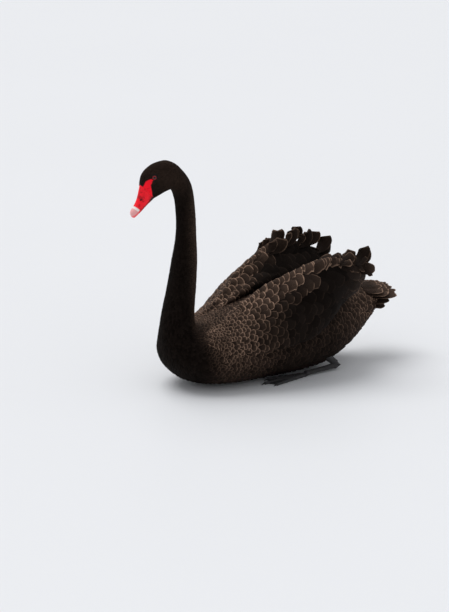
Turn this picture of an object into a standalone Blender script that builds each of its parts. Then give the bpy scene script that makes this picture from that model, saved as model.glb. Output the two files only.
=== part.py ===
"""A black swan afloat, life size, as one still museum model resting on its belly.

The frame has +Z up, the head towards -Y and the swan's left side towards +X. The origin is the
middle of the flat under the belly, on the floor. Lengths are in metres.
"""

import math
import random

import bmesh
import bpy
from mathutils import Matrix, Vector

GAP = 0.0003                 # between two nodes that meet face to face
CLEAR = 0.0004               # how far the torso is swollen before it trims what sits on it
AROUND = 24                  # corners round a ring of the body
RING_STEP = 0.020            # between rings along the body

# The bill: its tip, and the slope of the mouth line below the horizontal.
BILL_TIP = Vector((0.0, -0.3640, 0.4110))
BILL_PITCH = math.radians(45.0)
BILL_LENGTH = 0.062          # tip to feathers, along the mouth line
NOSTRIL_BACK = 0.036         # from the tip to the nostril's middle
NOSTRIL_UP = 0.0105
NOSTRIL_OUT = 0.0105
NOSTRIL_LONG = 0.0042        # half of its length
NOSTRIL_WIDE = 0.0016
NOSTRIL_DEEP = 0.0030

EYE_BACK = 0.0945            # eye behind the bill's tip, along the mouth line
EYE_UP = 0.0270              # and above it
EYE_OUT = 0.0150             # the ball's middle from the head's middle
EYE_RADIUS = 0.0062
LID_RADIUS = 0.0053
LID_THICK = 0.0013
LID_OUT = 0.0032             # the lids' ring from the ball's middle, the way the eye looks

# Rings of the body from the feathers at the bill to the root of the tail. Each row is the dorsal point
# (y, z), the ventral point (y, z), the half width, and how far down from the dorsal point it is widest.
BODY = (
    ((-0.3425, 0.4800), (-0.3130, 0.4450), 0.0165, 0.50),
    ((-0.3415, 0.4925), (-0.3020, 0.4485), 0.0190, 0.50),
    ((-0.3370, 0.5045), (-0.2915, 0.4525), 0.0208, 0.50),
    ((-0.3260, 0.5155), (-0.2810, 0.4565), 0.0220, 0.50),
    ((-0.3065, 0.5250), (-0.2720, 0.4590), 0.0228, 0.50),
    ((-0.2800, 0.5285), (-0.2660, 0.4600), 0.0230, 0.50),
    ((-0.2625, 0.5235), (-0.2610, 0.4570), 0.0228, 0.50),
    ((-0.2445, 0.5115), (-0.2565, 0.4500), 0.0225, 0.50),
    ((-0.2205, 0.4830), (-0.2525, 0.4360), 0.0222, 0.50),
    ((-0.2085, 0.4520), (-0.2495, 0.4180), 0.0220, 0.50),
    ((-0.2019, 0.3960), (-0.2469, 0.3780), 0.0225, 0.50),
    ((-0.2002, 0.3440), (-0.2492, 0.3400), 0.0245, 0.50),
    ((-0.1991, 0.3000), (-0.2578, 0.2960), 0.0292, 0.50),
    ((-0.2008, 0.2640), (-0.2648, 0.2580), 0.0320, 0.50),
    ((-0.2035, 0.2280), (-0.2725, 0.2210), 0.0346, 0.50),
    ((-0.2070, 0.1980), (-0.2810, 0.1850), 0.0375, 0.50),
    ((-0.2095, 0.1680), (-0.2870, 0.1480), 0.0420, 0.50),
    ((-0.2080, 0.1500), (-0.2885, 0.1080), 0.0540, 0.52),
    ((-0.1960, 0.1440), (-0.2830, 0.0720), 0.0720, 0.55),
    ((-0.1690, 0.1480), (-0.2650, 0.0410), 0.0910, 0.57),
    ((-0.1300, 0.1600), (-0.2270, 0.0130), 0.1080, 0.58),
    ((-0.0800, 0.1740), (-0.1600, -0.0015), 0.1190, 0.58),
    ((-0.0200, 0.1850), (-0.0700, -0.0040), 0.1240, 0.58),
    ((0.0450, 0.1900), (0.0300, -0.0040), 0.1220, 0.58),
    ((0.1000, 0.1870), (0.1100, 0.0030), 0.1110, 0.58),
    ((0.1500, 0.1790), (0.1700, 0.0250), 0.0930, 0.57),
    ((0.1900, 0.1710), (0.2150, 0.0520), 0.0740, 0.56),
    ((0.2250, 0.1650), (0.2480, 0.0760), 0.0580, 0.54),
    ((0.2600, 0.1590), (0.2740, 0.1020), 0.0460, 0.52),
    ((0.2820, 0.1540), (0.2900, 0.1220), 0.0340, 0.50),
)
# Where the body is parted, as rows of BODY counted from 0
HEAD_END = 6.0
NECK_SPLIT_UPPER = 10.5
NECK_SPLIT_LOWER = 13.5
NECK_END = 16.3
TORSO_END = 27.0

# Sections of the left wing from the shoulder to the rear: y, then x and z of its ridge, of its widest
# point, of its lower edge and of its inner edge
WING = (
    (-0.222, 0.068, 0.120, 0.072, 0.116, 0.070, 0.110, 0.064, 0.114),
    (-0.205, 0.052, 0.130, 0.082, 0.112, 0.081, 0.090, 0.040, 0.119),
    (-0.170, 0.046, 0.142, 0.101, 0.113, 0.100, 0.085, 0.031, 0.131),
    (-0.130, 0.046, 0.163, 0.116, 0.119, 0.113, 0.085, 0.024, 0.148),
    (-0.094, 0.050, 0.191, 0.129, 0.132, 0.124, 0.088, 0.020, 0.165),
    (-0.045, 0.066, 0.226, 0.139, 0.150, 0.132, 0.094, 0.022, 0.180),
    (0.016, 0.083, 0.253, 0.142, 0.168, 0.132, 0.102, 0.027, 0.187),
    (0.046, 0.089, 0.265, 0.140, 0.176, 0.129, 0.112, 0.031, 0.189),
    (0.085, 0.096, 0.273, 0.135, 0.188, 0.121, 0.136, 0.036, 0.191),
    (0.115, 0.095, 0.270, 0.127, 0.197, 0.112, 0.158, 0.042, 0.194),
    (0.145, 0.090, 0.259, 0.117, 0.206, 0.104, 0.175, 0.048, 0.197),
    (0.175, 0.083, 0.243, 0.103, 0.211, 0.092, 0.188, 0.056, 0.201),
    (0.195, 0.078, 0.229, 0.090, 0.213, 0.083, 0.200, 0.064, 0.206),
    (0.204, 0.076, 0.218, 0.079, 0.214, 0.077, 0.210, 0.073, 0.212),
)
WING_AROUND = 20
WING_STEP = 0.026
WING_BULGE = 0.010           # how far the sides of a section stand out between its points

# Vanes: how thick, how deep their roots are sunk, and their width along the way as parts of the full one
VANE_THICK = 0.0010
VANE_SINK = 0.0036
VANE_SHAPE = ((0.0, 0.70), (0.50, 1.0), (0.84, 0.80), (1.0, 0.30))
LONG_SHAPE = ((0.0, 0.70), (0.45, 1.0), (0.85, 0.82), (1.0, 0.30))
CURL_SHAPE = (0.70, 1.0, 1.0, 0.85, 0.40)
FEATHER_SEED = 11

# Tiers of a wing: y of the roots and of the tips, how many, between which shares round the section (0 at
# the lower edge, half at the ridge), the width of a vane, and how high its tip stands
WING_TIERS = (
    (-0.114, -0.036, 5, 0.03, 0.47, 0.036, 0.0032),
    (-0.044, 0.030, 5, 0.02, 0.47, 0.038, 0.0034),
    (0.018, 0.096, 5, 0.03, 0.47, 0.038, 0.0036),
    (0.080, 0.160, 5, 0.05, 0.47, 0.032, 0.0040),
    (-0.090, -0.024, 2, 0.54, 0.80, 0.034, 0.0030),
    (-0.034, 0.042, 3, 0.54, 0.82, 0.034, 0.0034),
    (0.030, 0.110, 3, 0.54, 0.82, 0.036, 0.0036),
    (0.096, 0.170, 3, 0.56, 0.82, 0.027, 0.0036),
)
TIER_DROP = 0.035            # how far a feather slants down the section on its way
VANE_LEAN = 0.0026           # how much higher a vane's outer edge stands, to lie over the next one
VANE_SHIFT = 0.004           # how far along a vane may stray from its tier
CURLS = 8
CURL_FRONT = 0.020
CURL_BACK = 0.178
CURL_START = math.radians(18.0)
CURL_SHARES = (0.43, 0.59)   # where they are rooted, by turns outside and inside the ridge
CURL_LENGTHS = (0.046, 0.060)
CURL_WIDTHS = (0.026, 0.032)
CURL_TURNS = (50.0, 90.0)    # degrees from root to tip
CURL_TWISTS = (35.0, 80.0)
CURL_HEADINGS = (-0.15, 0.35)
REAR_VANES = 4               # the longest secondaries, past the end of the wing
REAR_ROOT_Y = 0.140
REAR_LENGTH = 0.072
REAR_WIDTH = 0.024
REAR_SHARES = (0.02, 0.44)
REAR_WAY = Vector((-0.10, 1.0, -0.04))
REAR_RISE = 0.02
PRIMARIES = 4
PRIMARY_ROOT = Vector((0.060, 0.150, 0.2020))
PRIMARY_TIP = Vector((0.026, 0.246, 0.1860))
PRIMARY_WIDTH = 0.016
PRIMARY_SPREAD = Vector((0.007, -0.012, 0.0022))
PRIMARY_LEAN = 0.25

# The tail fan
TAIL_ROOT = Vector((0.0, 0.250, 0.153))
TAIL_ROOT_WIDTH = 0.024
TAIL_SPREAD = math.radians(34.0)
TAIL_SLOPE = 0.02
TAIL_EDGE_SLOPE = 0.06       # how much more the outermost feathers slope down
TAIL_TAPER = 0.10            # and how much shorter they are, as a part of the middle one's length
TAIL_BANK = 0.20             # and how far they face outwards
TAIL_CROWN = 0.008           # how far the outer feathers' roots lie below the middle one's
TAIL_ROLL = 0.14             # every tail feather leans this much to one side, to lie over the next
# Tiers of the tail: how many, length, width, height of the roots, and the shape of a vane
TAIL_TIERS = (
    (10, 0.080, 0.024, 0.000, LONG_SHAPE),
    (5, 0.054, 0.026, 0.008, VANE_SHAPE),
    (4, 0.058, 0.026, -0.018, VANE_SHAPE),
)

# The left leg and foot, on the floor under the flank
KNEE = Vector((0.076, 0.090, 0.050))
HOCK = Vector((0.086, 0.128, 0.0125))
ANKLE = Vector((0.088, 0.040, 0.0075))
SHANK_RADIUS = 0.0055
TOES = (                     # tip and radius at the root of each front toe
    (Vector((0.068, -0.050, 0.0)), 0.0040),
    (Vector((0.090, -0.072, 0.0)), 0.0045),
    (Vector((0.112, -0.055, 0.0)), 0.0040),
)
CLAW_LENGTH = 0.012
WEB_THICK = 0.0026

BLACK = (0.020, 0.016, 0.014)
BROWN_BLACK = (0.045, 0.034, 0.028)
RED = (0.62, 0.012, 0.018)
EYE_RED = (0.28, 0.010, 0.008)
LEG_GREY = (0.030, 0.030, 0.032)


def clear_scene():
    for obj in list(bpy.data.objects):
        bpy.data.objects.remove(obj, do_unlink=True)


def material(name, colour, roughness):
    made = bpy.data.materials.new(name)
    made.use_nodes = True
    shader = made.node_tree.nodes["Principled BSDF"]
    shader.inputs["Base Color"].default_value = (*colour, 1.0)
    shader.inputs["Roughness"].default_value = roughness
    shader.inputs["Metallic"].default_value = 0.0
    return made


def new_object(name, points, faces, finish=None):
    mesh = bpy.data.meshes.new(name)
    mesh.from_pydata([tuple(p) for p in points], [], faces)
    mesh.validate()
    shell = bmesh.new()
    shell.from_mesh(mesh)
    bmesh.ops.recalc_face_normals(shell, faces=shell.faces)
    shell.to_mesh(mesh)
    shell.free()
    mesh.shade_smooth()
    mesh.set_sharp_from_angle(angle=math.radians(40))
    obj = bpy.data.objects.new(name, mesh)
    bpy.context.scene.collection.objects.link(obj)
    if finish:
        mesh.materials.append(finish)
    return obj


def loft(name, rings, finish=None):
    """A closed tube through rings of the same number of points, capped at both ends."""
    count = len(rings[0])
    points = [p for ring in rings for p in ring]
    faces = [tuple(range(count))[::-1], tuple(range(len(points) - count, len(points)))]
    for k in range(len(rings) - 1):
        for i in range(count):
            j = (i + 1) % count
            a, b = k * count, (k + 1) * count
            faces.append((a + i, a + j, b + i))
            faces.append((a + j, b + j, b + i))
    return new_object(name, points, faces, finish)


def blend_rows(rows, t):
    """The row at t, counted in rows, on a smooth curve through all of them."""
    i = min(max(int(t), 0), len(rows) - 2)
    u = t - i
    before, a, b, after = (rows[min(max(i + k, 0), len(rows) - 1)] for k in (-1, 0, 1, 2))
    weights = (
        -0.5 * u + u * u - 0.5 * u ** 3,
        1.0 - 2.5 * u * u + 1.5 * u ** 3,
        0.5 * u + 2.0 * u * u - 1.5 * u ** 3,
        -0.5 * u * u + 0.5 * u ** 3,
    )
    return [sum(w * v for w, v in zip(weights, column)) for column in zip(before, a, b, after)]


BODY_ROWS = [(*dorsal, *ventral, wide, widest) for dorsal, ventral, wide, widest in BODY]


def body_ring(t):
    """The ring of the body at t, counted in rows of BODY. No point goes below the floor."""
    top_y, top_z, low_y, low_z, wide, widest = blend_rows(BODY_ROWS, t)
    top, low = Vector((0.0, top_y, top_z)), Vector((0.0, low_y, low_z))
    middle = top.lerp(low, widest)
    ring = []
    for i in range(AROUND):
        angle = math.tau * i / AROUND
        reach = (top if math.cos(angle) > 0 else low) - middle
        point = middle + reach * abs(math.cos(angle)) + Vector((wide * math.sin(angle), 0.0, 0.0))
        point.z = max(point.z, 0.0)
        ring.append(point)
    return ring


def ring_normal(ring):
    across = ring[AROUND // 4] - ring[3 * AROUND // 4]
    upright = ring[0] - ring[AROUND // 2]
    return across.cross(upright).normalized()


def body_piece(name, start, end, finish):
    """The length of the body between two rings, half a gap short at each end."""
    middles = [sum(body_ring(start + k * 0.25), Vector()) / AROUND for k in range(int((end - start) * 4) + 1)]
    length = sum((b - a).length for a, b in zip(middles, middles[1:]))
    count = max(3, round(length / RING_STEP))
    rings = [body_ring(start + (end - start) * k / count) for k in range(count + 1)]
    for ring, towards in ((rings[0], rings[1]), (rings[-1], rings[-2])):
        normal = ring_normal(ring)
        inward = sum(towards, Vector()) - sum(ring, Vector())
        step = normal * math.copysign(GAP / 2, inward.dot(normal))
        for point in ring:
            point += step
            point.z = max(point.z, 0.0)
    return loft(name, rings, finish)


def applied(obj):
    """The object with its modifiers applied, and only its largest closed surface kept."""
    graph = bpy.context.evaluated_depsgraph_get()
    mesh = bpy.data.meshes.new_from_object(obj.evaluated_get(graph))
    obj.modifiers.clear()
    obj.data = mesh
    shell = bmesh.new()
    shell.from_mesh(mesh)
    bmesh.ops.triangulate(shell, faces=shell.faces)
    unseen, islands = set(shell.faces), []
    while unseen:
        island, edge_of = [], [unseen.pop()]
        while edge_of:
            face = edge_of.pop()
            island.append(face)
            for edge in face.edges:
                for other in edge.link_faces:
                    if other in unseen:
                        unseen.discard(other)
                        edge_of.append(other)
        islands.append(island)

    def volume(island):
        return sum(f.verts[0].co.dot(f.verts[1].co.cross(f.verts[2].co)) for f in island) / 6.0

    largest = max(islands, key=volume)
    for island in islands:
        if island is not largest:
            bmesh.ops.delete(shell, geom=island, context="FACES")
    shell.to_mesh(mesh)
    shell.free()
    return obj


def combine(base, others, operation):
    """Joins or cuts the base with other closed objects, by one Boolean on a collection of them."""
    gathered = bpy.data.collections.new("gathered")
    bpy.context.scene.collection.children.link(gathered)
    for obj in others:
        for home in list(obj.users_collection):
            home.objects.unlink(obj)
        gathered.objects.link(obj)
    boolean = base.modifiers.new("combine", "BOOLEAN")
    boolean.operation = operation
    boolean.operand_type = "COLLECTION"
    boolean.collection = gathered
    boolean.solver = "EXACT"
    applied(base)
    for obj in others:
        bpy.data.objects.remove(obj, do_unlink=True)
    bpy.data.collections.remove(gathered)
    return base


def swollen(obj, distance):
    """A copy with every corner moved out along its normal."""
    copy = obj.copy()
    copy.data = obj.data.copy()
    bpy.context.scene.collection.objects.link(copy)
    normals = [v.normal.copy() for v in copy.data.vertices]
    for vertex, normal in zip(copy.data.vertices, normals):
        vertex.co += normal * distance
    return copy


def head_point(back, up, out=0.0):
    """A point given along the mouth line behind the bill's tip, above that line, and out to the left."""
    back_way = Vector((0.0, math.cos(BILL_PITCH), math.sin(BILL_PITCH)))
    up_way = Vector((0.0, -math.sin(BILL_PITCH), math.cos(BILL_PITCH)))
    return BILL_TIP + back_way * back + up_way * up + Vector((out, 0.0, 0.0))


def ball(name, middle, radii, turn=None, finish=None, rows=12, columns=16):
    shell = bmesh.new()
    bmesh.ops.create_uvsphere(shell, u_segments=columns, v_segments=rows, radius=1.0)
    place = Matrix.Translation(middle) @ (turn or Matrix.Identity(4)) @ Matrix.Diagonal((*radii, 1.0))
    bmesh.ops.transform(shell, matrix=place, verts=shell.verts)
    points = [v.co.copy() for v in shell.verts]
    faces = [tuple(v.index for v in f.verts) for f in shell.faces]
    shell.free()
    return new_object(name, points, faces, finish)


def pointing(direction):
    """The turn that takes +Z to this direction."""
    return direction.to_track_quat("Z", "Y").to_matrix().to_4x4()


def doughnut(name, middle, axis, radius, thick, around=20, section=6):
    turn = pointing(axis)
    rings = []
    for i in range(around):
        angle = math.tau * i / around
        out = Vector((math.cos(angle), math.sin(angle), 0.0))
        ring = []
        for k in range(section):
            tilt = math.tau * k / section
            flat = out * (radius + thick * math.cos(tilt))
            ring.append(middle + turn @ (flat + Vector((0.0, 0.0, thick * math.sin(tilt)))))
        rings.append(ring)
    points = [p for ring in rings for p in ring]
    faces = []
    for i in range(around):
        a, b = i * section, (i + 1) % around * section
        for k in range(section):
            j = (k + 1) % section
            faces.append((a + k, a + j, b + j, b + k))
    return new_object(name, points, faces)


def eye_middle(side):
    return head_point(EYE_BACK, EYE_UP, side * EYE_OUT)


def eye_way(side):
    """Where the eye looks: out, and a little forward and up."""
    return (Vector((side * 1.0, 0.0, 0.0)) + Vector((0.0, -0.30, 0.10))).normalized()


def make_head(finish):
    head = body_piece("head", 0.0, HEAD_END, finish)
    lids = []
    for side in (1, -1):
        way = eye_way(side)
        lids.append(doughnut(f"lids_{side}", eye_middle(side) + way * LID_OUT, way, LID_RADIUS, LID_THICK))
    combine(head, lids, "UNION")
    sockets = [ball(f"socket_{side}", eye_middle(side), [EYE_RADIUS + GAP] * 3) for side in (1, -1)]
    return combine(head, sockets, "DIFFERENCE")


def bill_half(name, rows, finish):
    """A half of the bill from rows of distance behind the tip, half width, ridge height and mouth height."""
    rings = []
    sections = 10
    for back, wide, ridge, mouth in rows:
        ring = []
        for i in range(sections + 1):
            angle = math.pi * i / sections
            ring.append(head_point(back, mouth + (ridge - mouth) * math.sin(angle), wide * math.cos(angle)))
        rings.append(ring)
    return loft(name, rings, finish)


UPPER_BILL = (
    (BILL_LENGTH, 0.0152, 0.0330, 0.0002),
    (0.0540, 0.0148, 0.0275, 0.0002),
    (0.0455, 0.0142, 0.0222, 0.0002),
    (0.0360, 0.0136, 0.0170, 0.0000),
    (0.0260, 0.0132, 0.0136, -0.0002),
    (0.0160, 0.0130, 0.0120, -0.0004),
    (0.0090, 0.0116, 0.0112, -0.0008),
    (0.0045, 0.0092, 0.0092, -0.0014),
    (0.0015, 0.0060, 0.0060, -0.0022),
    (0.0002, 0.0030, 0.0028, -0.0026),
)
LOWER_BILL = (
    (BILL_LENGTH, 0.0142, -0.0130, -0.0003),
    (0.0540, 0.0138, -0.0112, -0.0003),
    (0.0440, 0.0130, -0.0092, -0.0003),
    (0.0330, 0.0120, -0.0078, -0.0004),
    (0.0215, 0.0112, -0.0068, -0.0006),
    (0.0110, 0.0094, -0.0050, -0.0011),
    (0.0060, 0.0060, -0.0034, -0.0015),
)


def meet_head(half):
    """Moves the corners at the base of a half of the bill along it, to face the head's first ring."""
    back_way = head_point(1.0, 0.0) - head_point(0.0, 0.0)
    ring = body_ring(0.0)
    normal = ring_normal(ring)
    normal *= math.copysign(1.0, normal.dot(back_way))
    for vertex in half.data.vertices:
        if (vertex.co - BILL_TIP).dot(back_way) > BILL_LENGTH - GAP:
            short = (ring[0] - vertex.co).dot(normal) - GAP / 2
            vertex.co += back_way * short / back_way.dot(normal)


def make_bill(finish):
    upper = bill_half("bill_upper", UPPER_BILL, finish)
    nostrils = []
    for side in (1, -1):
        turn = Matrix.Rotation(math.pi - BILL_PITCH, 4, "X")
        radii = (NOSTRIL_DEEP, NOSTRIL_WIDE, NOSTRIL_LONG)
        middle = head_point(NOSTRIL_BACK, NOSTRIL_UP, side * NOSTRIL_OUT)
        nostrils.append(ball(f"nostril_{side}", middle, radii, turn, rows=8, columns=10))
    combine(upper, nostrils, "DIFFERENCE")
    lower = bill_half("bill_lower", LOWER_BILL, finish)
    for half in (upper, lower):
        meet_head(half)


def closed_curve(corners, share):
    """The point at this share of the way along a smooth closed curve through the corners."""
    t = share % 1.0 * len(corners)
    k, u = int(t), t % 1.0
    p0, p1, p2, p3 = (corners[(k + j) % len(corners)] for j in (-1, 0, 1, 2))
    return (
        p0 * (-0.5 * u + u * u - 0.5 * u ** 3)
        + p1 * (1.0 - 2.5 * u * u + 1.5 * u ** 3)
        + p2 * (0.5 * u + 2.0 * u * u - 1.5 * u ** 3)
        + p3 * (-0.5 * u * u + 0.5 * u ** 3)
    )


def wing_point(side, t, share):
    """A point of a wing: t is counted in rows of WING, share goes from the lower edge out over the ridge."""
    y, ridge_x, ridge_z, side_x, side_z, low_x, low_z, inner_x, inner_z = blend_rows(WING, t)
    ridge, widest, low, inner = (
        Vector((x, z)) for x, z in ((ridge_x, ridge_z), (side_x, side_z), (low_x, low_z), (inner_x, inner_z))
    )
    bulge = WING_BULGE * min(1.0, (ridge - inner).length / 0.05)
    outer = ridge.lerp(widest, 0.5) + Vector((bulge, bulge * 0.6))
    inward = ridge.lerp(inner, 0.5) + Vector((-bulge * 0.2, bulge * 0.7))
    flat = closed_curve([low, widest, outer, ridge, inward, inner], share)
    return Vector((side * flat.x, y, flat.y))


def wing_row(y):
    """Where y lies, counted in rows of WING."""
    for i in range(len(WING) - 1):
        if y <= WING[i + 1][0]:
            return i + max(0.0, (y - WING[i][0]) / (WING[i + 1][0] - WING[i][0]))
    return len(WING) - 1.0


def wing_surface(side, y, share):
    """A point on a wing and the way out of it."""
    t = min(wing_row(y), len(WING) - 1.3)
    step = 0.01
    along = wing_point(side, t + step, share) - wing_point(side, t - step, share)
    across = wing_point(side, t, share + step) - wing_point(side, t, share - step)
    return wing_point(side, t, share), (side * along.cross(across)).normalized()


def sheet(rows, thick):
    """A closed plate through rows of points, each a pair of a place and the way out of the plate there."""
    points = []
    width = len(rows[0])
    for row in rows:
        points += [place + out * thick / 2 for place, out in row]
        points += [place - out * thick / 2 for place, out in reversed(row)]
    faces = []
    ring = 2 * width
    for k in range(len(rows) - 1):
        a, b = ring * k, ring * (k + 1)
        for i in range(width - 1):
            faces += [(a + i, a + i + 1, b + i + 1), (a + i, b + i + 1, b + i)]
            over, under = a + ring - 1 - i, b + ring - 1 - i
            faces += [(over, under, under - 1), (over, under - 1, over - 1)]
        for i, j in ((width - 1, width), (ring - 1, 0)):
            faces += [(a + i, a + j, b + j), (a + i, b + j, b + i)]
    for start in (0, ring * (len(rows) - 1)):
        for i in range(width - 1):
            faces.append((start + i, start + i + 1, start + ring - 2 - i, start + ring - 1 - i))
    return new_object("vane", points, faces)


def vane(stations, thick):
    """A flat tapered plate through stations of a middle point, the way out of its face, and a width."""
    rows = []
    for k, (middle, out, width) in enumerate(stations):
        along = stations[min(k + 1, len(stations) - 1)][0] - stations[max(k - 1, 0)][0]
        sideways = out.cross(along).normalized() * width / 2
        facing = along.cross(sideways).normalized()
        rows.append([(middle - sideways, facing), (middle + sideways, facing)])
    return sheet(rows, thick)


def straight_vane(root, way, out, width, shape):
    """A vane that runs straight, the whole way from its root, with its face turned out."""
    return vane([(root + way * done, out, width * wide) for done, wide in shape], VANE_THICK)


def laid_vane(side, root, tip, width, lift, shape):
    """A vane that lies along a wing from root to tip, each a pair of y and share, its tip lifted off it.

    Its edge nearer to the lower edge of the wing stands higher, and so lies over the next vane down.
    """
    rows = []
    for done, wide in shape:
        y = root[0] + (tip[0] - root[0]) * done
        middle = root[1] + (tip[1] - root[1]) * done
        step = 0.02
        scale = step / (wing_surface(side, y, middle + step)[0] - wing_surface(side, y, middle)[0]).length
        row = []
        for across in (-1.0, 0.0, 1.0):
            point, out = wing_surface(side, y, middle + across * width * wide / 2 * scale)
            lean = across * math.copysign(1.0, middle - 0.5)
            rise = lift * (0.5 + 0.5 * done) + VANE_LEAN * (1.0 + lean) / 2 if done else -VANE_SINK
            row.append((point + out * rise, out))
        rows.append(row)
    return sheet(rows, VANE_THICK)


def curled_vane(side, y, share, length, width, turn, twist, draw):
    """A feather rooted on the ridge that runs back, bends up and rolls over towards its tip."""
    point, out = wing_surface(side, y, share)
    heading = Vector((side * draw.uniform(*CURL_HEADINGS), 1.0, 0.0)).normalized()
    across = heading.cross(Vector((0.0, 0.0, 1.0)))
    stations = []
    point = point - out * VANE_SINK
    step = length / (len(CURL_SHAPE) - 1)
    for k, wide in enumerate(CURL_SHAPE):
        share_done = k / (len(CURL_SHAPE) - 1)
        rise = CURL_START + turn * share_done ** 1.5
        along = heading * math.cos(rise) + Vector((0.0, 0.0, math.sin(rise)))
        face = Matrix.Rotation(twist * share_done, 3, along) @ across.cross(along)
        stations.append((point.copy(), face, width * wide))
        point = point + along * step
    return vane(stations, VANE_THICK)


def wing_vanes(side, draw):
    """All the vanes of a wing, tier by tier."""
    vanes = []
    for root_y, tip_y, count, low, high, width, lift in WING_TIERS:
        for i in range(count):
            share = low + (high - low) * (i + 0.5) / count
            shift = draw.uniform(-VANE_SHIFT, VANE_SHIFT)
            root = (root_y + shift, share)
            tip = (tip_y + shift, share - TIER_DROP if share < 0.5 else share + TIER_DROP * 0.5)
            shape = VANE_SHAPE if tip_y - root_y < 0.09 else LONG_SHAPE
            vanes.append(laid_vane(side, root, tip, width, lift + 0.001 * (i % 2), shape))
    for i in range(CURLS):
        share_done = i / (CURLS - 1)
        y = CURL_FRONT + (CURL_BACK - CURL_FRONT) * share_done
        length = draw.uniform(*CURL_LENGTHS)
        turn = math.radians(draw.uniform(*CURL_TURNS))
        twist = math.radians(draw.uniform(*CURL_TWISTS))
        width = draw.uniform(*CURL_WIDTHS)
        vanes.append(curled_vane(side, y, CURL_SHARES[i % 2], length, width, turn, twist, draw))
    flip = Vector((side, 1.0, 1.0))
    for i in range(REAR_VANES):
        first, last = REAR_SHARES
        point, out = wing_surface(side, REAR_ROOT_Y, first + (last - first) * (i + 0.5) / REAR_VANES)
        way = (REAR_WAY * flip + Vector((0.0, 0.0, REAR_RISE * i))).normalized() * REAR_LENGTH
        vanes.append(straight_vane(point - out * VANE_SINK, way, out, REAR_WIDTH, LONG_SHAPE))
    for i in range(PRIMARIES):
        root, tip = ((point + PRIMARY_SPREAD * i) * flip for point in (PRIMARY_ROOT, PRIMARY_TIP))
        out = Vector((side * PRIMARY_LEAN, 0.0, 1.0)).normalized()
        vanes.append(straight_vane(root, tip - root, out, PRIMARY_WIDTH, LONG_SHAPE))
    return vanes


def make_wing(side, name, torso, finish):
    count = round((WING[-1][0] - WING[0][0]) / WING_STEP)
    rings = [
        [wing_point(side, (len(WING) - 1) * k / count, i / WING_AROUND) for i in range(WING_AROUND)]
        for k in range(count + 1)
    ]
    wing = loft(name, rings, finish)
    combine(wing, wing_vanes(side, random.Random(FEATHER_SEED + side)), "UNION")
    return combine(wing, [swollen(torso, CLEAR)], "DIFFERENCE")


def make_tail(finish):
    """The rump's end with its fan: long vanes below, and a tier of coverts over their roots."""
    core = body_piece("tail", TORSO_END, len(BODY) - 1.0, finish)
    vanes = []
    for count, length, width, lift, shape in TAIL_TIERS:
        for i in range(count):
            across = 2.0 * i / (count - 1) - 1.0
            angle = TAIL_SPREAD * across
            slope = TAIL_SLOPE + TAIL_EDGE_SLOPE * abs(across)
            along = Vector((math.sin(angle), math.cos(angle), -slope)).normalized()
            root = TAIL_ROOT + Vector((TAIL_ROOT_WIDTH * across, 0.0, lift - TAIL_CROWN * across * across))
            out = Vector((TAIL_BANK * across + TAIL_ROLL, 0.0, 1.0)).normalized()
            way = along * length * (1.0 - TAIL_TAPER * across * across)
            vanes.append(straight_vane(root, way, out, width, shape))
    return combine(core, vanes, "UNION")


def rod(name, start, end, start_radius, end_radius, corners=8):
    """A tapered round rod, with its lowest points laid flat on the floor."""
    turn = pointing((end - start).normalized())
    rings = []
    for share in (0.0, 0.5, 1.0):
        radius = start_radius + (end_radius - start_radius) * share
        middle = start.lerp(end, share)
        ring = []
        for i in range(corners):
            angle = math.tau * i / corners
            point = middle + turn @ Vector((radius * math.cos(angle), radius * math.sin(angle), 0.0))
            point.z = max(point.z, 0.0)
            ring.append(point)
        rings.append(ring)
    return loft(name, rings)


def make_leg(side, name, torso, finish):
    flip = Vector((side, 1.0, 1.0))
    knee, hock, ankle = (point * flip for point in (KNEE, HOCK, ANKLE))
    front = ankle + (hock - ankle).normalized() * GAP
    shank = rod(name, hock, front, SHANK_RADIUS * 1.15, SHANK_RADIUS)
    shank.data.materials.append(finish)
    thigh = rod("thigh", knee, hock, SHANK_RADIUS * 2.6, SHANK_RADIUS * 1.2)
    radii = [SHANK_RADIUS * part for part in (1.55, 1.75, 1.5)]
    joint = ball("joint", hock, radii, rows=6, columns=8)
    combine(shank, [thigh, joint], "UNION")
    return combine(shank, [swollen(torso, CLEAR)], "DIFFERENCE")


def make_foot(side, name, finish):
    flip = Vector((side, 1.0, 1.0))
    ankle = ANKLE * flip
    pieces = []
    root = ankle + Vector((0.0, -0.0010, -0.0030))
    for tip, radius in TOES:
        tip = tip * flip
        tip.z = radius * 0.75
        pieces.append(rod("toe", root, tip, radius * 1.15, radius * 0.85, corners=6))
        way = (tip - root).normalized()
        end = tip + way * CLAW_LENGTH
        end.z = 0.0010
        pieces.append(rod("claw", tip - way * 0.003, end, radius * 0.7, 0.0008, corners=5))
    corners = [root * 1.0]
    for i, (tip, radius) in enumerate(TOES):
        corners.append(tip * flip)
        if i < len(TOES) - 1:
            corners.append((tip.lerp(TOES[i + 1][0], 0.5) + Vector((0.0, 0.016, 0.0))) * flip)
    web = []
    for height in (0.0, WEB_THICK):
        web.append([Vector((p.x, p.y, height)) for p in corners])
    pieces.append(loft("web", web))
    heel = root + Vector((0.0, 0.0, 0.0005))
    pieces.append(rod("heel", heel, root + Vector((-side * 0.012, 0.010, 0.0)), 0.0030, 0.0014, corners=6))
    foot = ball(name, root, [0.0072, 0.0070, 0.0055], rows=6, columns=8, finish=finish)
    for vertex in foot.data.vertices:
        vertex.co.z = max(vertex.co.z, 0.0)
        vertex.co.y = min(vertex.co.y, ankle.y)
    for piece in pieces:
        for vertex in piece.data.vertices:
            vertex.co.y = min(vertex.co.y, ankle.y)
    return combine(foot, pieces, "UNION")


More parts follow.
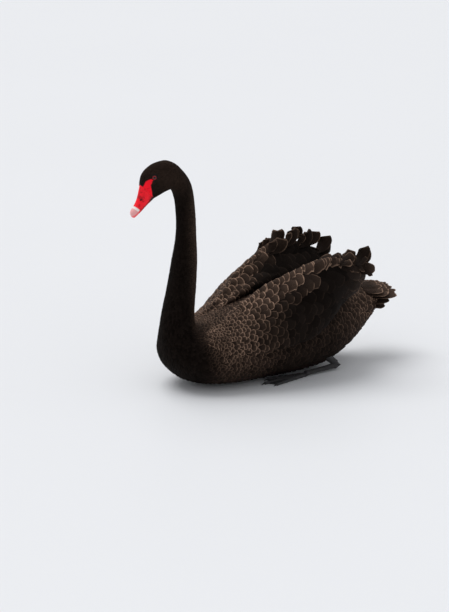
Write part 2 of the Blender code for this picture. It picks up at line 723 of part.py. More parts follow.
def main():
    clear_scene()
    black = material("black_plumage", BLACK, 0.6)
    brown = material("brown_black_plumage", BROWN_BLACK, 0.65)
    red = material("red_bill", RED, 0.35)
    eye = material("red_eye", EYE_RED, 0.08)
    grey = material("leg_skin", LEG_GREY, 0.5)
    make_head(black)
    body_piece("neck_upper", HEAD_END, NECK_SPLIT_UPPER, black)
    body_piece("neck_middle", NECK_SPLIT_UPPER, NECK_SPLIT_LOWER, black)
    body_piece("neck_lower", NECK_SPLIT_LOWER, NECK_END, black)
    torso = body_piece("torso", NECK_END, TORSO_END, brown)
    make_bill(red)
    for side, word in ((1, "left"), (-1, "right")):
        ball(f"eye_{word}", eye_middle(side), [EYE_RADIUS] * 3, finish=eye, rows=8, columns=12)
        make_wing(side, f"wing_{word}", torso, brown)
        make_leg(side, f"leg_{word}", torso, grey)
        make_foot(side, f"foot_{word}", grey)
    make_tail(brown)


main()
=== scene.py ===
"""A black swan resting on its belly: skin, plumage, bill, eyes, legs and a plain studio.

Lengths are in metres, +Z is up, the head is towards -Y and the swan's left side towards +X.
"""

import math
import random

import bpy
import numpy as np
from mathutils import Matrix, Vector


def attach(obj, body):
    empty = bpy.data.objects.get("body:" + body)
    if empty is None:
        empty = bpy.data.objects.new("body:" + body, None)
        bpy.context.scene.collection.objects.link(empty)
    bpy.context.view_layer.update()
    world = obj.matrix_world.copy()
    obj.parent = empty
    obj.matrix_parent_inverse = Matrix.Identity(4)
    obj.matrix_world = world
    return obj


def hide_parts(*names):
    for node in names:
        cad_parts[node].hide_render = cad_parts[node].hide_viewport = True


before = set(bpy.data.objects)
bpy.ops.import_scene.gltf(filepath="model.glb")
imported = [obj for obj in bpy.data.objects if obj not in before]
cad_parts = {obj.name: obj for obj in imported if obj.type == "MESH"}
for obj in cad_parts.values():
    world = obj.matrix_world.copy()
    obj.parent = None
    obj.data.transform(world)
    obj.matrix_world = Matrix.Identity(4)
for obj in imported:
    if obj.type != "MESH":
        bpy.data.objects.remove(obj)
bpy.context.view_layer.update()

bl_info = {
    "name": "Black swan",
    "version": (1, 0, 0),
    "blender": (4, 5, 0),
    "location": "3D View > Sidebar > Swan",
    "description": "Dresses the solids of a black swan in skin, feathers, bill, eyes and legs",
    "category": "Add Mesh",
}

SIDES = ((1, "left"), (-1, "right"))

# Rings of the body from the feathers at the bill to the root of the tail: the dorsal point's y and z,
# the ventral point's y and z, the half width, and how far down it is widest
BODY = np.array((
    (-0.3425, 0.4800, -0.3130, 0.4450, 0.0165, 0.50),
    (-0.3415, 0.4925, -0.3020, 0.4485, 0.0190, 0.50),
    (-0.3370, 0.5045, -0.2915, 0.4525, 0.0208, 0.50),
    (-0.3260, 0.5155, -0.2810, 0.4565, 0.0220, 0.50),
    (-0.3065, 0.5250, -0.2720, 0.4590, 0.0228, 0.50),
    (-0.2800, 0.5285, -0.2660, 0.4600, 0.0230, 0.50),
    (-0.2625, 0.5235, -0.2610, 0.4570, 0.0228, 0.50),
    (-0.2445, 0.5115, -0.2565, 0.4500, 0.0225, 0.50),
    (-0.2205, 0.4830, -0.2525, 0.4360, 0.0222, 0.50),
    (-0.2085, 0.4520, -0.2495, 0.4180, 0.0220, 0.50),
    (-0.2019, 0.3960, -0.2469, 0.3780, 0.0225, 0.50),
    (-0.2002, 0.3440, -0.2492, 0.3400, 0.0245, 0.50),
    (-0.1991, 0.3000, -0.2578, 0.2960, 0.0292, 0.50),
    (-0.2008, 0.2640, -0.2648, 0.2580, 0.0320, 0.50),
    (-0.2035, 0.2280, -0.2725, 0.2210, 0.0346, 0.50),
    (-0.2070, 0.1980, -0.2810, 0.1850, 0.0375, 0.50),
    (-0.2095, 0.1680, -0.2870, 0.1480, 0.0420, 0.50),
    (-0.2080, 0.1500, -0.2885, 0.1080, 0.0540, 0.52),
    (-0.1960, 0.1440, -0.2830, 0.0720, 0.0720, 0.55),
    (-0.1690, 0.1480, -0.2650, 0.0410, 0.0910, 0.57),
    (-0.1300, 0.1600, -0.2270, 0.0130, 0.1080, 0.58),
    (-0.0800, 0.1740, -0.1600, -0.0015, 0.1190, 0.58),
    (-0.0200, 0.1850, -0.0700, -0.0040, 0.1240, 0.58),
    (0.0450, 0.1900, 0.0300, -0.0040, 0.1220, 0.58),
    (0.1000, 0.1870, 0.1100, 0.0030, 0.1110, 0.58),
    (0.1500, 0.1790, 0.1700, 0.0250, 0.0930, 0.57),
    (0.1900, 0.1710, 0.2150, 0.0520, 0.0740, 0.56),
    (0.2250, 0.1650, 0.2480, 0.0760, 0.0580, 0.54),
    (0.2600, 0.1590, 0.2740, 0.1020, 0.0460, 0.52),
    (0.2820, 0.1540, 0.2900, 0.1220, 0.0340, 0.50),
))
HEAD_END = 6.0
NECK_MIDDLE = 10.5
NECK_END = 16.3

# Sections of the left wing from the shoulder to the rear: y, then x and z of its ridge, of its widest
# point, of its lower edge and of its inner edge
WING = np.array((
    (-0.222, 0.068, 0.120, 0.072, 0.116, 0.070, 0.110, 0.064, 0.114),
    (-0.205, 0.052, 0.130, 0.082, 0.112, 0.081, 0.090, 0.040, 0.119),
    (-0.170, 0.046, 0.142, 0.101, 0.113, 0.100, 0.085, 0.031, 0.131),
    (-0.130, 0.046, 0.163, 0.116, 0.119, 0.113, 0.085, 0.024, 0.148),
    (-0.094, 0.050, 0.191, 0.129, 0.132, 0.124, 0.088, 0.020, 0.165),
    (-0.045, 0.066, 0.226, 0.139, 0.150, 0.132, 0.094, 0.022, 0.180),
    (0.016, 0.083, 0.253, 0.142, 0.168, 0.132, 0.102, 0.027, 0.187),
    (0.046, 0.089, 0.265, 0.140, 0.176, 0.129, 0.112, 0.031, 0.189),
    (0.085, 0.096, 0.273, 0.135, 0.188, 0.121, 0.136, 0.036, 0.191),
    (0.115, 0.095, 0.270, 0.127, 0.197, 0.112, 0.158, 0.042, 0.194),
    (0.145, 0.090, 0.259, 0.117, 0.206, 0.104, 0.175, 0.048, 0.197),
    (0.175, 0.083, 0.243, 0.103, 0.211, 0.092, 0.188, 0.056, 0.201),
    (0.195, 0.078, 0.229, 0.090, 0.213, 0.083, 0.200, 0.064, 0.206),
    (0.204, 0.076, 0.218, 0.079, 0.214, 0.077, 0.210, 0.073, 0.212),
))
WING_BULGE = 0.010

# The bill: its tip, and the slope of the mouth line below the horizontal
BILL_TIP = Vector((0.0, -0.3640, 0.4110))
BILL_PITCH = math.radians(45.0)
BACK_WAY = Vector((0.0, math.cos(BILL_PITCH), math.sin(BILL_PITCH)))
UP_WAY = Vector((0.0, -math.sin(BILL_PITCH), math.cos(BILL_PITCH)))

# Halves of the bill: distance behind the tip, half width, height of the ridge and of the mouth edge
UPPER_BILL = np.array((
    (0.0640, 0.0155, 0.0336, 0.0002),
    (0.0540, 0.0148, 0.0275, 0.0002),
    (0.0455, 0.0142, 0.0222, 0.0002),
    (0.0360, 0.0136, 0.0170, 0.0000),
    (0.0260, 0.0132, 0.0136, -0.0002),
    (0.0160, 0.0130, 0.0120, -0.0004),
    (0.0090, 0.0116, 0.0112, -0.0008),
    (0.0045, 0.0092, 0.0092, -0.0014),
    (0.0015, 0.0060, 0.0060, -0.0022),
    (0.0002, 0.0030, 0.0028, -0.0026),
))
LOWER_BILL = np.array((
    (0.0640, 0.0142, -0.0130, -0.0006),
    (0.0540, 0.0138, -0.0112, -0.0006),
    (0.0440, 0.0130, -0.0092, -0.0006),
    (0.0330, 0.0120, -0.0078, -0.0007),
    (0.0215, 0.0112, -0.0068, -0.0009),
    (0.0110, 0.0094, -0.0050, -0.0013),
    (0.0060, 0.0060, -0.0034, -0.0017),
))
NOSTRIL = (0.040, 0.0140)            # back along the bill, and up from the mouth line
NOSTRIL_SIZE = (0.0040, 0.0015)
NOSTRIL_DEPTH = 0.0026
FLAT_SIDE = 0.05                     # how far the mouth side of a half arches, as a share of its height
BAND = (0.0150, 0.0205)              # the white band, as distances behind the tip
BAND_BLUR = 0.001                    # how softly it ends

# The bare red skin in front of the eye: distance behind the bill's tip, then the lowest and the highest
# it reaches above the mouth line
LORE = np.array((
    (0.0580, -0.0200, 0.0296),
    (0.0615, -0.0040, 0.0298),
    (0.0640, 0.0045, 0.0306),
    (0.0680, 0.0105, 0.0328),
    (0.0720, 0.0175, 0.0348),
    (0.0757, 0.0225, 0.0358),
    (0.0800, 0.0250, 0.0352),
    (0.0850, 0.0262, 0.0330),
    (0.0895, 0.0264, 0.0298),
))
LORE_BLUR = 0.0004

EYE_BACK = 0.0945
EYE_UP = 0.0270
EYE_OUT = 0.0150
EYE_RADIUS = 0.0062
LID_RADIUS = 0.0053
LID_THICK = 0.0012
SOCKET_DEPTH = 0.0080
# The low rim of skin round an eye: how far from the eye's middle, how wide and how high
BROW_WAY, BROW_WIDTH, BROW_HEIGHT = 0.0080, 0.0022, 0.0005

# The left leg and foot, on the floor under the flank
KNEE = Vector((0.076, 0.090, 0.050))
HOCK = Vector((0.086, 0.128, 0.0125))
ANKLE = Vector((0.088, 0.040, 0.0075))
SHANK_RADIUS = 0.0055
TOE_TIPS = (Vector((0.068, -0.050, 0.0)), Vector((0.090, -0.072, 0.0)), Vector((0.112, -0.055, 0.0)))
TOE_RADIUS = 0.0042
CLAW_LENGTH = 0.012
CLAW_DROP = 0.0024                   # how far a claw's tip bends down
CLAW_SINK = 0.003                    # how far back in the toe it starts
WEB_THICK = 0.0014
WEB_LOW = 0.0006                     # the web's underside over the floor
# Places along a shank and a claw, and how thick they are there
SHANK_SHAPE = ((0, 5, 8, 10, 16, 22, 24), (2.4, 1.5, 1.6, 1.2, 0.95, 1.0, 1.25))
CLAW_SHAPE = ((0, 0.5, 1), (0.62, 0.42, 0.10))

# The tail fan
TAIL_ROOT = Vector((0.0, 0.246, 0.153))
TAIL_ROOT_WIDTH = 0.027
TAIL_SPREAD = math.radians(34.0)
# Tiers of the tail: how many feathers, their length and width, the height of their roots, how pale they are
TAIL_TIERS = (
    (16, 0.080, 0.024, 0.000, 0.70),
    (13, 0.062, 0.024, 0.006, 0.80),
    (11, 0.046, 0.022, 0.011, 0.85),
    (13, 0.062, 0.026, -0.012, 0.60),
    (11, 0.050, 0.026, -0.022, 0.60),
)

# The coat by rows of BODY: where it starts and ends, how deep it is, and where its sizes change
COAT_START, COAT_END = 0.05, 28.6
COAT_DEPTHS = ((0.0, 3.0, 6.0, 14.0, 18.0, 21.0), (0.12, 0.20, 0.30, 0.50, 0.80, 1.0))
COAT_KNOTS = (0.0, 2.5, 6.0, 11.0, 16.0, 19.0, 22.0, 26.0, 29.0)
COAT_WIDTH = 0.62                    # width of a small feather as a share of its length
COVERT_WIDTH = 0.74
COVERT_ROWS = (0.15, 10.7)
COVERT_KNOTS = (-0.222, -0.16, -0.09, -0.02, 0.05, 0.13)
CREST_ROWS = (0.8, 9.4, 0.24)        # the row along the ridge: first, last and step, in rows of WING
WING_COAT = 0.0030
LOWEST = 0.0002                      # nothing of the coat lies lower over the floor

# Along the swan, how pale the edges of the feathers are and how brown the feathers, on the body, along
# the ridge of a wing and below it, and on the crown by rows of BODY. The darker feathers below the ridge are
# painted shade over the plumage's own pale edges, and the brown crown is painted light from above
BODY_PALE = ((-0.20, -0.12, -0.05, 0.08, 0.16, 0.24), (0.60, 0.42, 0.12, 0.12, 0.42, 0.75))
BODY_BROWN = ((-0.14, -0.05, 0.08, 0.18), (1.0, 0.25, 0.25, 1.0))
RIDGE_PALE = ((-0.22, -0.10, 0.0, 0.06, 0.10, 0.13), (0.85, 1.0, 0.95, 0.70, 0.40, 0.14))
RIDGE_BROWN = ((-0.10, 0.05, 0.12), (1.0, 0.55, 0.10))
# Below the ridge the pale edges and the brown fade out: painted shade on the wing's outer face
BELOW_PALE = ((-0.22, -0.14, -0.10, -0.05), (0.85, 0.75, 0.30, 0.05))
BELOW_BROWN = ((-0.16, -0.11, -0.05), (1.0, 0.45, 0.02))
RIDGE_DEPTH = ((-0.10, 0.05), (0.045, 0.022))
CROWN_PAINTED_LIGHT = ((0.0, 3.0, 7.0, 12.0), (0.50, 1.0, 0.80, 0.40))

# Outlines of a vane: how far along, and its width there as a part of the full one
TUFT = ((0.0, 0.55), (0.42, 0.98), (0.80, 0.86), (1.0, 0.26))
SMALL_VANE = ((0.0, 0.55), (0.35, 0.95), (0.68, 1.0), (0.86, 0.82), (0.96, 0.50), (1.0, 0.22))
ROUND_VANE = ((0.0, 0.40), (0.20, 0.76), (0.42, 0.95), (0.64, 1.0), (0.78, 0.95), (0.88, 0.82), (0.945, 0.62),
              (0.98, 0.42), (1.0, 0.20))
BLADE_PLACES = (0.0, 0.25, 0.50, 0.74, 0.90, 1.0)
BLADE = (0.46, 0.62, 0.86, 1.0, 0.97, 0.68)
FLAT_BLADE = (0.50, 0.88, 1.0, 0.96, 0.74, 0.30)
CURL_STATIONS = 15
# The curled feathers of the solids: how many on a wing, from where to where, and the ranges drawn from
CURL_SEED = 11
COVERT_DRAWS = 31
CURLS = 8
CURL_SPAN = (0.020, 0.178)
CURL_SHARES = (0.43, 0.59)
CURL_LENGTHS = (0.046, 0.060)
CURL_WIDTHS = (0.026, 0.032)
CURL_TURNS = (50.0, 90.0)
CURL_TWISTS = (35.0, 80.0)
CURL_HEADINGS = (-0.15, 0.35)
CURL_START = math.radians(18.0)
CURL_SINK = 0.0036
CURL_CALM = ((0.02, 0.09, 0.125, 0.155), (0.0, 0.1, 0.35, 0.95))
VANE_SHIFT = 0.004
# The last feathers of a wing: how many, in which rows of WING, and how much shorter towards its end
REAR_FEATHERS = 33
REAR_ROWS = (8.9, 9.9, 10.8)
REAR_SHORTER = ((8.8, 11.0), (1.08, 0.62))
WHITE_FEATHERS = 7
WHITE_WIDTH = 0.012
LONGEST_VANE = 0.1                   # a vane of this length has the mark 1
RIM_WIDTH = 0.0036
RIM_SHARE = 0.15                     # on small feathers the pale rim is this share of the length
HALF_WIDTH = 0.34                    # half the width of a feather, as a share of its length
FRAY = 0.09                          # how unevenly the sides of a laid vane end, as a share of its width
ROOT_SINK = 0.0004
PATCH = 0.003                        # the width of a tuft's patch on the bake map
SEED = 23

# The studio: the floor's half width, what the camera looks at, and where the light comes from
FLOOR_REACH = 14.0
LOOK_AT = Vector((0.0, -0.122, 0.17))
SENSOR_WIDTH = 36.0
FAR_CLIP = 100.0                     # farther than the floor reaches
KEY_WAY = Vector((-0.44, -0.13, 0.87))
KEY_ANGLE = math.radians(45.0)
SKY_COLOUR = (0.97, 0.98, 1.0, 1.0)


class SwanPlumage(bpy.types.PropertyGroup):
    """Colours of the feathers"""

    black: bpy.props.FloatVectorProperty(
        name="Black", description="Head and neck", subtype="COLOR", size=3,
        min=0.0, max=1.0, default=(0.0052, 0.0038, 0.0032))
    brown: bpy.props.FloatVectorProperty(
        name="Brown", description="Middle of a body feather", subtype="COLOR", size=3,
        min=0.0, max=1.0, default=(0.0125, 0.0080, 0.0063))
    edge: bpy.props.FloatVectorProperty(
        name="Pale edge", description="Worn edge of a body feather", subtype="COLOR", size=3,
        min=0.0, max=1.0, default=(0.380, 0.245, 0.175))
    white: bpy.props.FloatVectorProperty(
        name="White", description="Flight feathers under the curled ones", subtype="COLOR", size=3,
        min=0.0, max=1.0, default=(0.72, 0.70, 0.66))


class SwanBareParts(bpy.types.PropertyGroup):
    """Colours of the bill, eyes and legs"""

    bill: bpy.props.FloatVectorProperty(
        name="Bill", description="Bill and bare skin up to the eye", subtype="COLOR", size=3,
        min=0.0, max=1.0, default=(0.97, 0.006, 0.020))
    band: bpy.props.FloatVectorProperty(
        name="Band", description="Pale band near the tip of the bill", subtype="COLOR", size=3,
        min=0.0, max=1.0, default=(0.90, 0.84, 0.80))
    nail: bpy.props.FloatVectorProperty(
        name="Tip", description="Tip of the bill", subtype="COLOR", size=3,
        min=0.0, max=1.0, default=(0.86, 0.40, 0.40))
    stain: bpy.props.FloatVectorProperty(
        name="Stain", description="Darker patches on the bill and the bare skin", subtype="COLOR", size=3,
        min=0.0, max=1.0, default=(0.34, 0.002, 0.006))
    iris: bpy.props.FloatVectorProperty(
        name="Iris", description="Iris of the eye", subtype="COLOR", size=3,
        min=0.0, max=1.0, default=(0.42, 0.004, 0.010))
    leg: bpy.props.FloatVectorProperty(
        name="Leg", description="Skin of the legs and feet", subtype="COLOR", size=3,
        min=0.0, max=1.0, default=(0.030, 0.029, 0.030))


class SwanCoat(bpy.types.PropertyGroup):
    """Sizes of the small feathers"""

    face: bpy.props.FloatProperty(
        name="Face feather", description="Length at the bill", unit="LENGTH", default=0.0034)
    neck: bpy.props.FloatProperty(
        name="Neck feather", description="Length in the middle of the neck", unit="LENGTH", default=0.0080)
    chest: bpy.props.FloatProperty(
        name="Chest feather", description="Length on the breast", unit="LENGTH", default=0.0170)
    flank: bpy.props.FloatProperty(
        name="Flank feather", description="Length on the flank", unit="LENGTH", default=0.0340)
    shoulder: bpy.props.FloatProperty(
        name="Shoulder feather", description="Length at the front of the wing", unit="LENGTH", default=0.0120)
    covert: bpy.props.FloatProperty(
        name="Large covert", description="Length at the rear of the wing", unit="LENGTH", default=0.0600)
    depth: bpy.props.FloatProperty(
        name="Coat depth", description="Depth of the coat on the body", unit="LENGTH", default=0.0050)


class SwanWings(bpy.types.PropertyGroup):
    """Sizes of the flight feathers"""

    companions: bpy.props.IntProperty(
        name="Companions", description="Smaller feathers beside each curled one", min=0, max=6, default=1)
    ruffle: bpy.props.FloatProperty(
        name="Ruffle", description="How far the edges of curled feathers wave", unit="LENGTH", default=0.0024)
    drooping: bpy.props.IntProperty(
        name="Drooping feathers", description="How many hang over the rear of the left wing",
        min=0, max=30, default=9)
    rear_length: bpy.props.FloatProperty(
        name="Rear feather", description="Length of the last feathers of a wing", unit="LENGTH",
        default=0.066)
    rear_width: bpy.props.FloatProperty(
        name="Rear width", description="Width of the last feathers of a wing", unit="LENGTH", default=0.026)


class SwanStudio(bpy.types.PropertyGroup):
    """Camera, light and floor"""

    azimuth: bpy.props.FloatProperty(
        name="Azimuth", description="Camera round the swan, from the front", subtype="ANGLE",
        default=math.radians(57.0))
    elevation: bpy.props.FloatProperty(
        name="Elevation", description="Camera above the horizon", subtype="ANGLE", default=math.radians(16.0))
    distance: bpy.props.FloatProperty(
        name="Distance", description="Camera from the swan", unit="LENGTH", default=8.0)
    view_height: bpy.props.FloatProperty(
        name="View height", description="What the picture's height takes in", unit="LENGTH", default=1.377)
    floor: bpy.props.FloatVectorProperty(
        name="Floor", description="Colour of the floor", subtype="COLOR", size=3,
        min=0.0, max=1.0, default=(0.78, 0.79, 0.81))
    sky: bpy.props.FloatProperty(
        name="Sky", description="Strength of the light from all sides", min=0.0, default=0.62)
    key: bpy.props.FloatProperty(
        name="Key light", description="Strength of the light from above", min=0.0, default=1.75)


def curve(before, a, b, after, u):
    """A point from a to b at u, on a smooth curve with the points before and after them."""
    return (
        (-0.5 * u + u * u - 0.5 * u ** 3) * before
        + (1.0 - 2.5 * u * u + 1.5 * u ** 3) * a
        + (0.5 * u + 2.0 * u * u - 1.5 * u ** 3) * b
        + (-0.5 * u * u + 0.5 * u ** 3) * after
    )


def grid(first, second):
    """Two rows of numbers as a grid of each."""
    return np.meshgrid(first, second, indexing="ij")


def rounds(count):
    """Even places round a ring, from 0 up to 1."""
    return np.arange(count) / count


def blend_table(table, t):
    """Rows of a table at t, counted in rows, on smooth curves through them."""
    t = np.clip(t, 0.0, len(table) - 1.0)
    i = np.minimum(t.astype(int), len(table) - 2)
    u = (t - i)[..., None]
    return curve(*(table[np.clip(i + k, 0, len(table) - 1)] for k in (-1, 0, 1, 2)), u)


def past_ends(point, last):
    """A surface carried on straight past its first and last row."""
    nudge = 0.05

    def extended(t, turn):
        """The surface at t and turn, straight beyond its ends."""
        inside = np.clip(t, 0.0, last)
        inner = np.where(t > last, last - nudge, nudge)
        there = point(inside, turn)
        slope = (there - point(inner, turn)) / (inside - inner + (inside == inner))[..., None]
        return there + slope * (t - inside)[..., None]

    return extended


def body_point(t, turn):
    """A point of the body: t in rows of BODY, turn in rounds from the dorsal line to the left."""
    rows = blend_table(BODY, t)
    top, low = rows[..., 0:2], rows[..., 2:4]
    middle = top + (low - top) * rows[..., 5:6]
    upright = np.cos(math.tau * turn)[..., None]
    flat = middle + np.where(upright > 0.0, top - middle, low - middle) * np.abs(upright)
    x = rows[..., 4] * np.sin(math.tau * turn)
    return np.stack((x, flat[..., 0], np.maximum(flat[..., 1], 0.0)), axis=-1)


def wing_point(side):
    """The surface of a wing: t in rows of WING, share from the lower edge out over the ridge."""

    def point(t, share):
        """The point at this t and share."""
        rows = blend_table(WING, t)
        y = rows[..., 0]
        ridge, widest, low, inner = (rows[..., k:k + 2] for k in (1, 3, 5, 7))
        bulge = WING_BULGE * np.minimum(1.0, np.linalg.norm(ridge - inner, axis=-1, keepdims=True) / 0.05)
        outer = (ridge + widest) / 2 + bulge * np.array((1.0, 0.6))
        inward = (ridge + inner) / 2 + bulge * np.array((-0.2, 0.7))
        corners = np.stack((low, widest, outer, ridge, inward, inner), axis=-2)
        place = share % 1.0 * 6
        k = place.astype(int) % 6
        u = (place - np.floor(place))[..., None]
        picks = (((k + j) % 6)[..., None, None] for j in (-1, 0, 1, 2))
        flat = curve(*(np.take_along_axis(corners, pick, axis=-2)[..., 0, :] for pick in picks), u)
        return np.stack((side * flat[..., 0], y, flat[..., 1]), axis=-1)

    return point


class Surface:
    """A surface of two numbers, with the ways along it, round it and out of it."""

    def __init__(self, point, last, facing, depth):
        self.point = past_ends(point, last)
        self.last = last
        self.facing = facing
        self.depth = depth

    def spans(self, u, v, step_u=0.03, step_v=0.004):
        """Places, and there the ways along the surface, round it and out of it."""
        along = (self.point(u + step_u, v) - self.point(u - step_u, v)) / (2 * step_u)
        across = (self.point(u, v + step_v) - self.point(u, v - step_v)) / (2 * step_v)
        out = np.cross(across, along) * self.facing
        out /= np.linalg.norm(out, axis=-1, keepdims=True) + 1e-12
        return self.point(u, v), along, across, out


def coat_depth(t, depth):
    """How deep the coat is on the body: thin on the face, full behind the breast."""
    return depth * np.interp(t, *COAT_DEPTHS)


def body_surface(context):
    """The outside of the body's coat."""
    full = context.scene.swan_coat.depth
    return Surface(body_point, len(BODY) - 1.0, 1.0, lambda t: coat_depth(t, full))


def wing_surface(side):
    """The outside of a wing's coat."""
    return Surface(wing_point(side), len(WING) - 1.0, -side, lambda t: np.full(np.shape(t), WING_COAT))


def unit(vectors):
    """Vectors at a length of one."""
    return vectors / (np.linalg.norm(vectors, axis=-1, keepdims=True) + 1e-12)


def dot(a, b):
    """Dot products along the last axis."""
    return (a * b).sum(axis=-1)


def steps_for(way, along, across):
    """The change of u and v that moves by this way on the surface."""
    aa, ab, bb = dot(along, along), dot(along, across), dot(across, across)
    wa, wb = dot(way, along), dot(way, across)
    whole = aa * bb - ab * ab + 1e-18
    return (wa * bb - wb * ab) / whole, (wb * aa - wa * ab) / whole


def lay(surface, u, v, way, length, width, outline, lift, draw, columns=3, camber=0.10, thick=0.0004):
    """Vanes laid on a surface from their roots, shaped as (vane, station, ring, xyz).

    A ring runs over the top from edge to edge and back through one point below.
    """
    u, v = u.copy(), v.copy()
    shares = np.linspace(-1.0, 1.0, columns)
    rings, before = [], 0.0
    step = np.zeros((2, len(u)))
    for done, wide in outline:
        u += step[0] * (done - before) * length
        v += step[1] * (done - before) * length
        before = done
        _, along, across, out = surface.spans(u, v)
        ahead = unit(way - out * dot(way, out)[:, None])
        step = np.array(steps_for(ahead, along, across))
        sideways = np.array(steps_for(np.cross(out, ahead), along, across))
        ring = []
        rise = -ROOT_SINK + (lift + surface.depth(u)) * done ** 0.8
        for share in shares:
            frayed = 1.0 + FRAY * abs(share) * draw.standard_normal(len(u))
            reach = share * frayed * width * wide / 2
            place, _, _, facing = surface.spans(u + sideways[0] * reach, v + sideways[1] * reach)
            height = rise - surface.depth(u) - camber * width * wide * share * share * min(1.0, done * 3.0)
            ring.append(place + facing * height[:, None])
        middle = ring[columns // 2]
        ring.append(middle - out * thick)
        rings.append(np.stack(ring, axis=1))
    return np.stack(rings, axis=1)


def free_vane(middles, outs, widths, draw, columns=7, camber=0.10, cup=0.0, ruffle=0.0, thick=0.0008):
    """One vane along a free line, as (1, station, ring, xyz), cupped and ruffled towards the tip."""
    middles, outs = np.array(middles), unit(np.array(outs))
    ahead = unit(np.gradient(middles, axis=0))
    sideways = unit(np.cross(outs, ahead))
    outs = unit(np.cross(ahead, sideways))
    done = np.linspace(0.0, 1.0, len(middles))
    widths = np.array(widths)
    waves, phase = draw.uniform(1.4, 3.0, 2), draw.uniform(0.0, math.tau, 2)
    ragged = 1.0 + 12.0 * ruffle * draw.standard_normal((2, len(middles))) * done
    ring = []
    for share in np.linspace(-1.0, 1.0, columns):
        edge = int(share > 0.0)
        wave = ruffle * share * share * done * np.sin(math.tau * waves[edge] * done + phase[edge])
        height = wave - (camber + cup * done * done) * widths * share * share
        reach = share * widths / 2 * (1.0 + (ragged[edge] - 1.0) * abs(share))
        ring.append(middles + sideways * reach[:, None] + outs * height[:, None])
    ring.append(middles - outs * thick)
    return np.stack(ring, axis=1)[None]


def ring_quads(rings, count):
    """Faces that join rings of points, each to the next and round to its own start."""
    s, k = grid(np.arange(rings - 1), np.arange(count))
    n = (k + 1) % count
    quads = np.stack((s * count + k, (s + 1) * count + k, (s + 1) * count + n, s * count + n), axis=-1)
    return quads.reshape(-1, 4)


class Vanes:
    """Gathers vanes and joins them into one mesh with its maps and marks."""

    def __init__(self):
        self.points, self.faces, self.starts = [], [], []
        self.vane, self.bake, self.marks = [], [], []
        self.count = 0
        self.loops = 0

    def add(self, points, outline, roots, marks):
        """Points as from lay, how far along each station is, bake map places and marks of each vane."""
        number, stations, ring, _ = points.shape
        stems = np.arange(number)[:, None, None] * stations * ring + self.count
        self.store((ring_quads(stations, ring)[None] + stems).reshape(-1, 4))
        root_cap = np.arange(ring)[None, None, :] + stems
        tip_cap = np.arange(ring)[::-1][None, None, :] + (stations - 1) * ring + stems
        self.store(np.concatenate((root_cap, tip_cap), axis=1).reshape(-1, ring))
        across = np.append(np.linspace(0.0, 1.0, ring - 1), 0.5)
        along = np.array([done for done, _ in outline])
        uv = np.stack(np.broadcast_arrays(across[None, :], along[:, None]), axis=-1)
        uv = np.broadcast_to(uv[None], (number, stations, ring, 2))
        self.vane.append(uv.reshape(-1, 2))
        self.bake.append((roots[:, None, None, :] * (1.0 - PATCH) + uv * PATCH).reshape(-1, 2))
        lengths = np.linalg.norm(np.diff(points[:, :, ring // 2], axis=1), axis=-1).sum(axis=1)
        marks = np.concatenate((marks, lengths[:, None] / LONGEST_VANE), axis=1)
        spread = np.broadcast_to(marks[:, None, None, :], (number, stations, ring, 4))
        self.marks.append(spread.reshape(-1, 4))
        self.points.append(points.reshape(-1, 3))
        self.count += number * stations * ring

    def store(self, faces):
        """Keep faces that all have the same number of corners."""
        self.faces.append(faces.reshape(-1))
        self.starts.append(self.loops + np.arange(len(faces)) * faces.shape[1])
        self.loops += faces.size

    def mesh(self, name):
        """All vanes in one mesh, kept off the floor."""
        points = np.concatenate(self.points)
        points[:, 2] = np.maximum(points[:, 2], LOWEST)
        return make_mesh(
            name, points, np.concatenate(self.faces), np.concatenate(self.starts),
            {"OFBake": np.concatenate(self.bake), "Vane": np.concatenate(self.vane)},
            np.concatenate(self.marks),
        )


def make_mesh(name, points, loops, starts, maps, marks):
    """A mesh from flat arrays, with maps and marks given for each point."""
    mesh = bpy.data.meshes.new(name)
    mesh.vertices.add(len(points))
    mesh.vertices.foreach_set("co", np.ascontiguousarray(points, dtype=np.float32).ravel())
    mesh.loops.add(len(loops))
    mesh.loops.foreach_set("vertex_index", np.ascontiguousarray(loops, dtype=np.int32))
    mesh.polygons.add(len(starts))
    mesh.polygons.foreach_set("loop_start", np.ascontiguousarray(starts, dtype=np.int32))
    mesh.update(calc_edges=True)
    for title, places in maps.items():
        layer = mesh.uv_layers.new(name=title)
        layer.data.foreach_set("uv", np.ascontiguousarray(places[loops], dtype=np.float32).ravel())
    if marks is not None:
        layer = mesh.attributes.new("Marks", "FLOAT_COLOR", "POINT")
        rgba = np.ones((len(points), 4), np.float32)
        rgba[:, :marks.shape[1]] = marks
        layer.data.foreach_set("color", rgba.ravel())
    mesh.shade_smooth()
    mesh.set_sharp_from_angle(angle=math.radians(62))
    return mesh


def grid_mesh(name, points, maps=None, marks=None):
    """A closed tube through rings of points, given as (ring, place, xyz), capped at both ends."""
    rings, count, _ = points.shape
    quads = ring_quads(rings, count)
    caps = np.concatenate((np.arange(count), np.arange(count)[::-1] + (rings - 1) * count))
    loops = np.concatenate((quads.ravel(), caps))
    starts = np.concatenate((np.arange(len(quads)) * 4, quads.size + np.arange(2) * count))
    maps = {title: places.reshape(-1, 2) for title, places in (maps or {}).items()}
    marks = None if marks is None else marks.reshape(-1, marks.shape[-1])
    mesh = make_mesh(name, points.reshape(-1, 3), loops, starts, maps, marks)
    if sum(p.center.dot(p.normal) * p.area for p in mesh.polygons) < 0.0:
        mesh.flip_normals()
    return mesh


def piece(mesh, material, slot, *nodes):
    """An object of the swan, named as its mesh, that stands for these solids."""
    obj = bpy.data.objects.new(mesh.name, mesh)
    bpy.context.scene.collection.objects.link(obj)
    mesh.materials.append(material)
    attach(obj, "root")
    if nodes:
        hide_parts(*nodes)
    return obj


